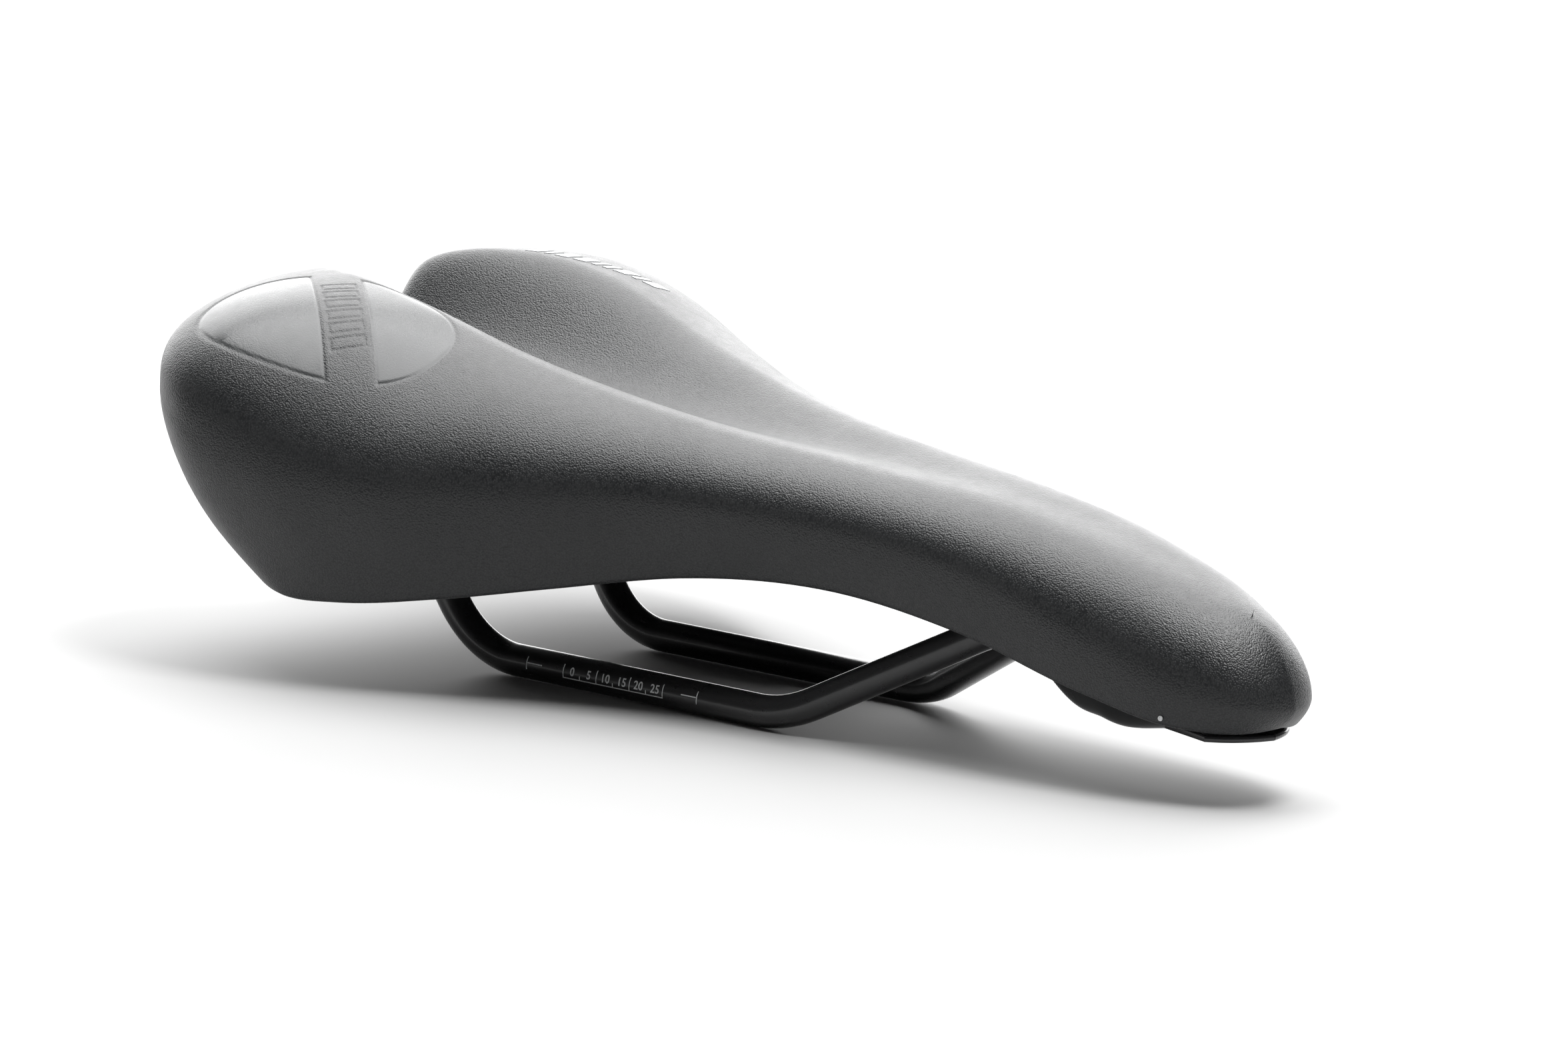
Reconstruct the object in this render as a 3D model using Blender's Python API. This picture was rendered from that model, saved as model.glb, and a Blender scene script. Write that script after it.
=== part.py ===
"""A padded bicycle saddle built from its separate pieces: cover, foam, base shell, bent rail, sockets and fasteners.

Units are metres. +X points to the nose, +Y to the rider's left and +Z up. The origin lies midway between the two
straight rail runs, at the height of their centrelines, in the middle of the stretch that a seat clamp grips.
"""

import math

import bpy
import numpy as np
from mathutils import Matrix, Vector
from mathutils.bvhtree import BVHTree

GAP = 0.0004              # between neighbouring pieces
INNER_GAP = 0.0006        # between the layers under the foam, counted level or straight down
MIRROR = np.array([1.0, -1.0, 1.0])

# The widest line of the saddle, right half, from the tail's middle round to the nose tip.
WIDEST = [
    (-0.1010, 0.0000, 0.0500),
    (-0.1055, -0.0110, 0.0570),
    (-0.1100, -0.0260, 0.0630),
    (-0.1100, -0.0440, 0.0605),
    (-0.1020, -0.0605, 0.0550),
    (-0.0860, -0.0710, 0.0480),
    (-0.0620, -0.0720, 0.0420),
    (-0.0380, -0.0650, 0.0395),
    (-0.0120, -0.0505, 0.0400),
    (0.0180, -0.0360, 0.0420),
    (0.0550, -0.0270, 0.0410),
    (0.0950, -0.0235, 0.0370),
    (0.1280, -0.0215, 0.0310),
    (0.1520, -0.0170, 0.0260),
    (0.1650, -0.0090, 0.0240),
    (0.1685, 0.0000, 0.0235),
]

# The lower edge of the cover, paired point by point with the widest line.
HEM = [
    (-0.0900, 0.0000, 0.0320),
    (-0.0900, -0.0140, 0.0310),
    (-0.0885, -0.0300, 0.0285),
    (-0.0830, -0.0460, 0.0240),
    (-0.0730, -0.0580, 0.0170),
    (-0.0600, -0.0630, 0.0140),
    (-0.0460, -0.0620, 0.0145),
    (-0.0260, -0.0540, 0.0170),
    (-0.0040, -0.0420, 0.0210),
    (0.0240, -0.0300, 0.0260),
    (0.0580, -0.0240, 0.0280),
    (0.0950, -0.0215, 0.0240),
    (0.1280, -0.0200, 0.0163),
    (0.1500, -0.0160, 0.0120),
    (0.1605, -0.0090, 0.0111),
    (0.1645, 0.0000, 0.0120),
]

# Where each of those points meets the saddle's middle line, as x.
SPINE = [
    -0.0840, -0.0810, -0.0775, -0.0730, -0.0660, -0.0560, -0.0410, -0.0215,
    0.0007, 0.0265, 0.0584, 0.0928, 0.1212, 0.1418, 0.1530, 0.1560,
]

# Heights of the top along its length, as x and z: the floor of the centre channel, and the ridge beside it.
CHANNEL = [
    (-0.100, 0.0570), (-0.080, 0.0580), (-0.060, 0.0570), (-0.030, 0.0555), (0.000, 0.0540), (0.030, 0.0530),
    (0.060, 0.0520), (0.090, 0.0500), (0.120, 0.0455), (0.145, 0.0385), (0.160, 0.0320), (0.1685, 0.0260),
]
RIDGE = [
    (-0.110, 0.0730), (-0.097, 0.0762), (-0.082, 0.0775), (-0.060, 0.0755), (-0.030, 0.0685), (0.000, 0.0620),
    (0.030, 0.0575), (0.060, 0.0545), (0.090, 0.0513), (0.120, 0.0463), (0.145, 0.0390), (0.160, 0.0320),
    (0.1685, 0.0260),
]
# How far the ridge stands from the middle line, as x and y.
RIDGE_OFFSET = [
    (-0.110, 0.0190), (-0.097, 0.0220), (-0.080, 0.0270), (-0.060, 0.0300), (-0.040, 0.0290), (0.000, 0.0230),
    (0.040, 0.0170), (0.080, 0.0130), (0.120, 0.0110), (0.164, 0.0090),
]
OUTSIDE_FALL = 3.5        # 1/m: how fast the top falls away outside the ridge
ROUND_NOSE = 2.4          # exponent of the shoulder's curve at the nose
ROUND_TAIL = 3.8          # and at the tail, where the shoulder is squarer
ROUND_SHELL = 2.0         # and on the shell

# Layers, counted inwards from the outside.
COVER_THICKNESS = 0.0012
SHELL_THICKNESS = 0.0024
EDGE_FOAM = 0.0012        # foam left at the lower edge
SIDE_FOAM = 0.0030        # foam over the shoulders
TAIL_FOAM = 0.0150        # further foam under the tail's ridges
NOSE_FOAM = 0.0045        # and at the nose
LIP_HEIGHT = 0.0080       # how far the cover turns up inside the shell
ROLL_DROP = 0.0022        # how far the turned edge hangs below the sheet's own edge
EDGE_RISE = 0.0008        # how far the foam and the shell stop short of it
SPAN_STEPS = 2
ROW_PLACES = (0.0, 0.12, 0.24, 0.36, 0.49, 0.62, 0.75, 0.86, 0.94, 0.985, 1.0)   # from the middle out
TOP_STEPS = len(ROW_PLACES) - 1
SHALLOWEST_SHOULDER = 0.0015

# The rail: one round rod, bent. Its corners are given for the right side, each with its bend radius.
RAIL_RADIUS = 0.0035
RAIL_SIDES = 12
RAIL_HALF_SPACING = 0.022
NOSE_HALF_SPACING = 0.008
CLEAR_RADIUS = RAIL_RADIUS + GAP
RAIL_END = (-0.0772, -0.0280, 0.0402)
RAIL_CORNERS = [
    ((-0.0633, -0.0255, 0.0322), 0.014),
    ((-0.0432, -RAIL_HALF_SPACING, 0.0), 0.022),
    ((0.0477, -RAIL_HALF_SPACING, 0.0), 0.028),
    ((0.0990, -NOSE_HALF_SPACING, 0.0258), 0.040),
    ((0.1340, -NOSE_HALF_SPACING, 0.0266), NOSE_HALF_SPACING),
]
BEND_STEP = math.radians(13)

# Screws, driven upwards.
SCREW_RADIUS = 0.0015
HEAD_RADIUS = 0.0029
HEAD_HEIGHT = 0.0020
KEY_RADIUS = 0.0015
KEY_DEPTH = 0.0012
SCREW_SIDES = 12
REAR_GRIP = 0.0022        # socket material between a rear screw's head and the shell
NOSE_GRIP = 0.0070
SHELL_BITE = 0.0020       # how far a screw goes into the shell

STAPLE_SIZE = (0.0062, 0.0010, 0.0005)
STAPLE_COLUMNS = (1, 3, 5, 7, 11, 13, 15, 17, 19, 21)


def clear_scene():
    for obj in list(bpy.data.objects):
        bpy.data.objects.remove(obj, do_unlink=True)


def make_material(name, colour, roughness, metallic=0.0):
    material = bpy.data.materials.new(name)
    material.use_nodes = True
    shader = material.node_tree.nodes["Principled BSDF"]
    shader.inputs["Base Color"].default_value = (*colour, 1.0)
    shader.inputs["Roughness"].default_value = roughness
    shader.inputs["Metallic"].default_value = metallic
    return material


def make_object(name, points, faces, material=None):
    """An object made from points and faces, smooth apart from its sharp edges."""
    mesh = bpy.data.meshes.new(name)
    mesh.from_pydata([tuple(point) for point in points], [], faces)
    mesh.update()
    mesh.shade_smooth()
    mesh.set_sharp_from_angle(angle=math.radians(40))
    if material:
        mesh.materials.append(material)
    obj = bpy.data.objects.new(name, mesh)
    bpy.context.scene.collection.objects.link(obj)
    return obj


def make_cutter(name, points, faces):
    cutter = make_object(name, points, faces)
    cutter.hide_render = True
    cutter.display_type = "WIRE"
    return cutter


def add_boolean(obj, operation, other):
    modifier = obj.modifiers.new(f"{operation.lower()}_{other.name}", "BOOLEAN")
    modifier.operation = operation
    modifier.object = other
    modifier.solver = "EXACT"


def slopes(values, knots):
    """The slope of a smooth curve at each of its knots."""
    spans = np.diff(knots)[:, None]
    rates = np.diff(values, axis=0) / spans
    inner = (rates[:-1] * spans[1:] + rates[1:] * spans[:-1]) / (spans[:-1] + spans[1:])
    first = 2 * rates[0] - inner[0]
    last = 2 * rates[-1] - inner[-1]
    return np.vstack([first, inner, last])


def read_curve(values, knots, places):
    """The smooth curve through the values, read at the given places between its knots."""
    places = np.clip(places, knots[0], knots[-1])
    index = np.clip(np.searchsorted(knots, places, side="right") - 1, 0, len(knots) - 2)
    span = (knots[index + 1] - knots[index])[:, None]
    u = (places - knots[index])[:, None] / span
    slope = slopes(values, knots)
    start = (2 * u**3 - 3 * u**2 + 1) * values[index] + (u**3 - 2 * u**2 + u) * span * slope[index]
    end = (3 * u**2 - 2 * u**3) * values[index + 1] + (u**3 - u**2) * span * slope[index + 1]
    return start + end


def read_line(points, steps):
    """A smooth line through the points, with the same number of steps between each pair."""
    points = np.array(points, float)
    lengths = np.linalg.norm(np.diff(points, axis=0), axis=1)
    knots = np.concatenate([[0.0], np.cumsum(lengths)])
    places = np.interp(np.arange(steps * (len(points) - 1) + 1) / steps, np.arange(len(points)), knots)
    return read_curve(points, knots, places)


def read_profile(profile, x):
    """The second value of a profile at each x."""
    profile = np.array(profile, float)
    flat = np.ravel(x)
    return read_curve(profile[:, 1:], profile[:, 0], flat)[:, 0].reshape(np.shape(x))


def ramp(value):
    """0 below 0, 1 above 1, and a smooth step between."""
    value = np.clip(value, 0.0, 1.0)
    return value * value * (3 - 2 * value)


def ridge_share(x, y):
    """0 on the middle line, rising to 1 on the ridge and outside it."""
    return ramp(np.abs(y) / read_profile(RIDGE_OFFSET, x))


def top_height(x, y):
    """Height of the saddle's top, before its shoulders round it off."""
    channel = read_profile(CHANNEL, x)
    ridge = read_profile(RIDGE, x)
    outside = np.maximum(np.abs(y) - read_profile(RIDGE_OFFSET, x), 0.0)
    return channel + (ridge - channel) * ridge_share(x, y) - OUTSIDE_FALL * outside**2


def unit(vectors):
    return vectors / np.linalg.norm(vectors, axis=-1, keepdims=True)


def drape(widest, hem, spine, height, exponent, skirt):
    """A grid over the right half, rows from the spine over the shoulder to the hem, columns from tail to nose.

    The height function gives the top before its shoulder rounds off to the widest line, and the skirt gives the
    rows below that line, each as the share of the way down to the hem for every column.
    """
    highest = height(widest[:, 0], widest[:, 1])
    widest = np.column_stack([widest[:, :2], np.minimum(widest[:, 2], highest - SHALLOWEST_SHOULDER)])
    drop = highest - widest[:, 2]
    rows = []
    for out in ROW_PLACES:
        x = spine + out * (widest[:, 0] - spine)
        y = out * widest[:, 1]
        fall = drop * (1 - (1 - out**exponent) ** (1 / exponent))
        rows.append(np.stack([x, y, height(x, y) - fall], axis=-1))
    rows[-1] = widest
    for share in skirt:
        plan = (share**1.6)[:, None] * (hem - widest)[:, :2]
        rows.append(np.column_stack([widest[:, :2] + plan, widest[:, 2] + share * (hem - widest)[:, 2]]))
    return np.array(rows)


def grid_normals(points):
    """Outward normals of a grid over the right half."""
    across = np.gradient(np.concatenate([points[1:2] * MIRROR, points]), axis=0)[1:]
    ghosts = np.concatenate([points[:, 1:2] * MIRROR, points, points[:, -2:-1] * MIRROR], axis=1)
    along = (ghosts[:, 2:] - ghosts[:, :-2]) / 2
    normals = np.cross(across, along)
    run = np.gradient(points[0], axis=0)
    normals[0] = np.stack([-run[:, 2], np.zeros(len(run)), run[:, 0]], axis=-1)
    return unit(normals)


def plan_inwards(line):
    """Horizontal directions from a line over the right half towards the saddle's middle."""
    ghosts = np.concatenate([line[1:2] * MIRROR, line, line[-2:-1] * MIRROR])
    along = ghosts[2:] - ghosts[:-2]
    return unit(np.stack([-along[:, 1], along[:, 0], np.zeros(len(line))], axis=-1))


def foam_underside(x, y):
    """Height of the foam's underside, before its shoulders round off."""
    under = NOSE_FOAM + (TAIL_FOAM - NOSE_FOAM) * ramp((0.110 - x) / 0.190)
    skin = COVER_THICKNESS + GAP + SIDE_FOAM
    return top_height(x, y) - skin - under * (0.25 + 0.75 * ridge_share(x, y))


def skirt_rows(widest, hem, bottom):
    """The rows between the widest line and the hem, as shares: half way to the lip's top, its top, and the last."""
    length = np.linalg.norm(hem - widest, axis=1)
    lip = np.maximum(bottom - LIP_HEIGHT / length, 0.3)
    return [0.5 * lip, lip, bottom * np.ones(len(lip))]


def make_layers():
    """Each layer of the saddle as a grid of points, all with the same rows and columns."""
    widest = read_line(WIDEST, SPAN_STEPS)
    hem = read_line(HEM, SPAN_STEPS)
    columns = np.arange(len(widest)) / SPAN_STEPS
    spine = read_curve(np.array(SPINE)[:, None], np.arange(len(SPINE), dtype=float), columns)[:, 0]
    exponent = ROUND_NOSE + (ROUND_TAIL - ROUND_NOSE) * ramp((-0.030 - widest[:, 0]) / 0.080)
    bottom = 1 - 0.5 * ROLL_DROP / np.linalg.norm(hem - widest, axis=1)
    outside = drape(widest, hem, spine, top_height, exponent, skirt_rows(widest, hem, bottom))
    skin = grid_normals(outside)

    skin_depth = COVER_THICKNESS + GAP
    inner_widest = (outside - skin * (skin_depth + SIDE_FOAM))[TOP_STEPS + 1]
    rise = unit(outside[-2] - outside[-1]) * EDGE_RISE
    inner_hem = (outside - skin * (skin_depth + EDGE_FOAM))[-1] + rise
    inwards = plan_inwards(inner_widest)
    rows = skirt_rows(inner_widest, inner_hem, 1.0)

    def under_foam(depth):
        """The grid at a depth below the foam."""
        return drape(
            inner_widest + inwards * depth,
            inner_hem - skin[-1] * depth,
            spine,
            lambda x, y: foam_underside(x, y) - depth,
            np.full(len(spine), ROUND_SHELL),
            rows,
        )

    foam_out = outside - skin * skin_depth
    foam_out[-1] += rise
    lip_out = 2 * INNER_GAP + SHELL_THICKNESS
    lip_in = lip_out + COVER_THICKNESS
    return {
        "cover_out": outside,
        "cover_in": outside - skin * COVER_THICKNESS,
        "foam_out": foam_out,
        "foam_in": under_foam(0.0),
        "shell_out": under_foam(INNER_GAP),
        "shell_in": under_foam(INNER_GAP + SHELL_THICKNESS),
        "lip_out": under_foam(lip_out),
        "lip_in": under_foam(lip_in),
        "clear": np.concatenate([under_foam(lip_out)[:-3], under_foam(lip_in + INNER_GAP)[-3:]]),
    }


def turned_edge(start, end, down, drop, count):
    """Rows of a half turn from one row to another, hanging by the drop."""
    middle = (start + end) / 2
    half = (start - end) / 2
    angles = [math.pi * (index + 1) / (count + 1) for index in range(count)]
    return [middle + half * math.cos(angle) + down * drop * math.sin(angle) for angle in angles]


def add_rings(points, rows):
    """Adds both halves of each row to the points, and returns the rows as rings. The first row is on the spine."""
    columns = len(rows[0])
    rings = []
    for number, row in enumerate(rows):
        start = len(points)
        points.extend(row)
        if number == 0:
            rings.append([start + min(place, 2 * columns - 2 - place) for place in range(2 * columns - 2)])
            continue
        points.extend(row[column] * MIRROR for column in range(columns - 2, 0, -1))
        rings.append([start + place for place in range(2 * columns - 2)])
    return rings


def join_rings(rings):
    """Triangles between neighbouring rings, with their diagonals the same on every layer and on both halves."""
    faces = []
    half = len(rings[0]) // 2
    for upper, lower in zip(rings, rings[1:]):
        for place in range(2 * half):
            after = (place + 1) % (2 * half)
            a, b, c, d = upper[place], lower[place], lower[after], upper[after]
            right = place < half
            column = place if right else 2 * half - 1 - place
            if (column < half // 2) == right:
                faces += [(a, b, c), (a, c, d)]
            else:
                faces += [(a, b, d), (b, c, d)]
    return faces


def close_sheets(outer, inner=None):
    """Points and faces of the solid between two sheets, or between one sheet and a flat floor at its last row."""
    points = []
    rings = add_rings(points, outer)
    faces = join_rings(rings)
    if inner is None:
        faces.append(tuple(reversed(rings[-1])))
        return points, faces
    inner_rings = add_rings(points, inner)
    faces += [face[::-1] for face in join_rings(inner_rings)]
    faces += join_rings([rings[-1], inner_rings[-1]])
    return points, faces


def cover_sheets(layers):
    """The cover's two faces, each down the outside, round the turned edge and up the lip inside the shell."""
    outside = layers["cover_out"]
    inside = layers["cover_in"]
    lip_out = layers["lip_out"]
    lip_in = layers["lip_in"]
    down = unit(outside[-1] - outside[-2])
    outer = list(outside) + turned_edge(outside[-1], lip_in[-1], down, ROLL_DROP, 3) + [lip_in[-1], lip_in[-2]]
    drop = ROLL_DROP - COVER_THICKNESS
    inner = list(inside) + turned_edge(inside[-1], lip_out[-1], down, drop, 3) + [lip_out[-1], lip_out[-2]]
    return outer, inner


def build_cover(layers, material):
    return make_object("cover", *close_sheets(*cover_sheets(layers)), material)


def build_foam(layers, material):
    return make_object("foam_pad", *close_sheets(layers["foam_out"], layers["foam_in"]), material)


def build_shell(layers, material):
    return make_object("base_shell", *close_sheets(layers["shell_out"], layers["shell_in"]), material)


def space_below(name, rows, depth=0.0):
    """A cutter that fills the hollow under a grid, lowered by a depth, down to well under the saddle."""
    floor = -0.06
    sheet = [row - np.array([0.0, 0.0, depth]) for row in rows]
    skirt = sheet[-1].copy()
    skirt[:, 2] = floor
    return make_cutter(name, *close_sheets(sheet + [skirt]))


def bend(path, corner, following, radius):
    """Adds the arc that rounds a corner to the path."""
    corner = Vector(corner)
    before = (Vector(path[-1]) - corner).normalized()
    after = (Vector(following) - corner).normalized()
    turn = math.pi - before.angle(after)
    reach = radius * math.tan(turn / 2)
    centre = corner + (before + after).normalized() * (radius / math.cos(turn / 2))
    axis = (-before).cross(after).normalized()
    spoke = corner + before * reach - centre
    steps = max(2, math.ceil(turn / BEND_STEP))
    for step in range(steps + 1):
        path.append(centre + Matrix.Rotation(turn * step / steps, 3, axis) @ spoke)


def rail_path():
    """The rod's centreline, from the right rear end round the nose to the left rear end."""
    corners = [Vector(place) for place, _ in RAIL_CORNERS]
    flip = Matrix.Diagonal((1, -1, 1))
    corners += [flip @ place for place in reversed(corners)]
    radii = [radius for _, radius in RAIL_CORNERS]
    radii += radii[::-1]
    path = [Vector(RAIL_END)]
    for number, (corner, radius) in enumerate(zip(corners, radii)):
        following = corners[number + 1] if number + 1 < len(corners) else flip @ Vector(RAIL_END)
        bend(path, corner, following, radius)
    path.append(flip @ Vector(RAIL_END))
    kept = path[:1]
    for place in path[1:]:
        if (place - kept[-1]).length > 0.0002:
            kept.append(place)
    return kept


def sweep(path, section):
    """Points and faces of a section carried along a path, with its second direction kept as upright as it can be."""
    points = []
    for number, place in enumerate(path):
        before = path[max(number - 1, 0)]
        after = path[min(number + 1, len(path) - 1)]
        turning = ((place - before).normalized() + (after - place).normalized()).normalized()
        side = turning.cross(Vector((0, 0, 1))).normalized()
        up = side.cross(turning)
        points += [place + side * across + up * height for across, height in section]
    count = len(section)
    faces = [tuple(range(count)), tuple(reversed(range(len(points) - count, len(points))))]
    for start in range(0, len(points) - count, count):
        for side in range(count):
            after = (side + 1) % count
            faces.append((start + after, start + side, start + count + side, start + count + after))
    return points, faces


def round_section(radius, sides=RAIL_SIDES):
    """A circle as flats at the given distance, one of them facing straight down."""
    corner = radius / math.cos(math.pi / sides)
    angles = [2 * math.pi * (side + 0.5) / sides for side in range(sides)]
    return [(corner * math.cos(angle), corner * math.sin(angle)) for angle in angles]


def groove_section(radius, height):
    """A round-bottomed slot, open upwards."""
    lower = [corner for corner in round_section(radius) if corner[1] < 0]
    return lower + [(radius, height), (-radius, height)]


def build_rail(path, material):
    return make_object("rail", *sweep(path, round_section(RAIL_RADIUS)), material)


def prism(outline, low, high, along="Z"):
    """Points and faces of an outline, in anticlockwise order, drawn out between two places along Z or Y."""
    count = len(outline)
    if along == "Z":
        points = [(x, y, z) for z in (low, high) for x, y in outline]
    else:
        points = [(x, y, z) for y in (high, low) for x, z in outline]
    faces = [tuple(reversed(range(count))), tuple(range(count, 2 * count))]
    for side in range(count):
        after = (side + 1) % count
        faces.append((side, after, count + after, count + side))
    return points, faces


def rounded_box(centre, half_x, half_y, radius):
    """A rectangle with round corners, seen from above."""
    outline = []
    for quarter, (sign_x, sign_y) in enumerate([(1, 1), (-1, 1), (-1, -1), (1, -1)]):
        for step in range(4):
            angle = math.pi / 2 * (quarter + step / 3)
            x = centre[0] + sign_x * (half_x - radius) + radius * math.cos(angle)
            y = centre[1] + sign_y * (half_y - radius) + radius * math.sin(angle)
            outline.append((x, y))
    return outline


def circle(centre, radius, sides=SCREW_SIDES):
    angles = [2 * math.pi * side / sides for side in range(sides)]
    return [(centre[0] + radius * math.cos(angle), centre[1] + radius * math.sin(angle)) for angle in angles]


def ceiling_height(cutter, place):
    """How high the hollow under the shell reaches above a place."""
    mesh = cutter.data
    tree = BVHTree.FromPolygons([vertex.co for vertex in mesh.vertices], [face.vertices for face in mesh.polygons])
    hit = tree.ray_cast(Vector((place[0], place[1], -0.02)), Vector((0, 0, 1)))
    return hit[0].z


def build_screw(name, place, seat, reach, material):
    """A pan-head screw with a hexagon key, its head's upper face at the seat and its tip above it by the reach."""
    rings = [
        (KEY_RADIUS, seat - HEAD_HEIGHT + KEY_DEPTH, True),
        (KEY_RADIUS, seat - HEAD_HEIGHT, True),
        (HEAD_RADIUS * 0.8, seat - HEAD_HEIGHT, False),
        (HEAD_RADIUS, seat - HEAD_HEIGHT * 0.6, False),
        (HEAD_RADIUS, seat, False),
        (SCREW_RADIUS, seat, False),
        (SCREW_RADIUS, seat + reach, False),
    ]
    points = []
    for radius, height, hexagon in rings:
        for side in range(SCREW_SIDES):
            length = radius * math.cos(math.pi / 6) if hexagon and side % 2 else radius
            angle = 2 * math.pi * side / SCREW_SIDES
            points.append((place[0] + length * math.cos(angle), place[1] + length * math.sin(angle), height))
    last = len(points) - SCREW_SIDES
    faces = [tuple(range(SCREW_SIDES))[::-1], tuple(range(last, len(points)))]
    for start in range(0, last, SCREW_SIDES):
        for side in range(SCREW_SIDES):
            after = (side + 1) % SCREW_SIDES
            faces.append((start + side, start + after, start + SCREW_SIDES + after, start + SCREW_SIDES + side))
    return make_object(name, points, faces, material)


def screw_in(shell, socket, hollow, name, place, grip, material):
    """A screw through a socket into the shell, with its clearance holes in both."""
    seat = ceiling_height(hollow, place) - grip
    reach = grip + GAP + SHELL_BITE
    build_screw(name, place, seat - GAP, reach, material)
    hole = make_cutter(f"{name}_hole", *prism(circle(place, SCREW_RADIUS + GAP), seat - 0.001, seat + grip + 0.008))
    well = make_cutter(f"{name}_well", *prism(circle(place, HEAD_RADIUS + GAP), -0.01, seat))
    add_boolean(socket, "DIFFERENCE", hole)
    add_boolean(socket, "DIFFERENCE", well)
    add_boolean(shell, "DIFFERENCE", hole)


def build_rear_socket(side, hollow, lowered, path, material):
    """The moulded block that holds one rear end of the rail, with the pad that lies under the shell."""
    name = "rear_socket_left" if side > 0 else "rear_socket_right"
    end_x, end_y, end_z = RAIL_END
    middle_y = side * 0.0270
    profile = [
        (end_x + 0.0088, end_z - 0.0128),
        (end_x + 0.0155, end_z - 0.0010),
        (end_x + 0.0190, 0.0620),
        (end_x - 0.0090, 0.0620),
        (end_x - 0.0065, end_z - 0.0045),
    ]
    block = prism(profile, middle_y - 0.0080, middle_y + 0.0080, along="Y")
    socket = make_object(name, *block, material)
    bevel = socket.modifiers.new("soft_edges", "BEVEL")
    bevel.width = 0.0012
    bevel.segments = 2
    pad = make_cutter(f"{name}_pad", *prism(rounded_box((end_x + 0.009, middle_y), 0.0120, 0.0165, 0.005), 0.02, 0.07))
    add_boolean(pad, "DIFFERENCE", lowered)
    add_boolean(socket, "UNION", pad)
    add_boolean(socket, "INTERSECT", hollow)
    ends = path[:3] if side < 0 else path[-3:][::-1]
    run = [ends[0] + (ends[0] - ends[1]).normalized() * GAP, ends[1], ends[2]]
    outside = run[2] + (run[2] - run[1]).normalized() * 0.012
    bore = make_cutter(f"{name}_bore", *sweep(run + [outside], round_section(CLEAR_RADIUS)))
    add_boolean(socket, "DIFFERENCE", bore)
    return socket


def nose_outline(margin):
    """The front plate, seen from above: the lower edge drawn in by a margin, running back into the keel."""
    hem = read_line(HEM, SPAN_STEPS)
    half = hem[hem[:, 0] > 0.155]
    along = np.gradient(half[:, :2], axis=0)
    inward = unit(np.stack([-along[:, 1], along[:, 0]], axis=-1))
    inward[-1] = (-1.0, 0.0)
    inset = np.vstack([(0.1400, -0.0072), half[:, :2] + inward * margin])
    left = inset[-2::-1] * MIRROR[:2]
    return [tuple(place) for place in np.concatenate([inset, left])]


def build_nose_socket(hollow, path, material):
    """The keel under the nose: it holds the rail's bend, and its thin front edge shows below the cover's edge."""
    stations = [
        (0.1010, 0.0120, 0.0270, 0.0130),
        (0.1070, 0.0065, 0.0140, 0.0130),
        (0.1200, 0.0052, 0.0076, 0.0130),
        (0.1410, 0.0075, 0.0088, 0.0128),
        (0.1530, 0.0090, 0.0090, 0.0118),
        (0.1600, 0.0080, 0.0095, 0.0090),
    ]
    top = 0.050
    waist = 0.0290
    points = []
    for x, low_half, low, high_half in stations:
        points += [(x, -low_half, low), (x, low_half, low), (x, high_half, waist), (x, high_half, top)]
        points += [(x, -high_half, top), (x, -high_half, waist)]
    count = 6
    faces = [tuple(reversed(range(count))), tuple(range(len(points) - count, len(points)))]
    for start in range(0, len(points) - count, count):
        for side in range(count):
            after = (side + 1) % count
            faces.append((start + side, start + after, start + count + after, start + count + side))
    socket = make_object("nose_socket", points, faces, material)
    add_boolean(socket, "INTERSECT", hollow)
    front = make_cutter("nose_socket_edge", *prism(nose_outline(0.0009), 0.0092, 0.0107))
    add_boolean(socket, "UNION", front)
    turn = [place for place in path if place.x > 0.088]
    groove = make_cutter("nose_socket_groove", *sweep(turn, groove_section(CLEAR_RADIUS, 0.020)))
    add_boolean(socket, "DIFFERENCE", groove)
    return socket


def build_ribs(shell, layers):
    """Stiffening ribs along and across the shell's underside."""
    core = space_below("rib_room", (layers["shell_out"] + layers["shell_in"]) / 2)
    above = space_below("rib_depth", layers["shell_in"], depth=0.0040)
    bars = [
        rounded_box((-0.004, -0.0100), 0.049, 0.0010, 0.0008),
        rounded_box((-0.004, 0.0100), 0.049, 0.0010, 0.0008),
        rounded_box((0.046, 0.0), 0.0010, 0.0150, 0.0008),
        rounded_box((0.004, 0.0), 0.0010, 0.0280, 0.0008),
        rounded_box((-0.038, 0.0), 0.0010, 0.0440, 0.0008),
    ]
    ribs = None
    for number, outline in enumerate(bars, start=1):
        margin = 0.0010 * number
        bar = make_cutter(f"rib_{number}", *prism(outline, 0.020 - margin, 0.080 + margin))
        if ribs is None:
            ribs = bar
        else:
            add_boolean(ribs, "UNION", bar)
    add_boolean(ribs, "INTERSECT", core)
    add_boolean(ribs, "DIFFERENCE", above)
    add_boolean(shell, "UNION", ribs)


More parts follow.
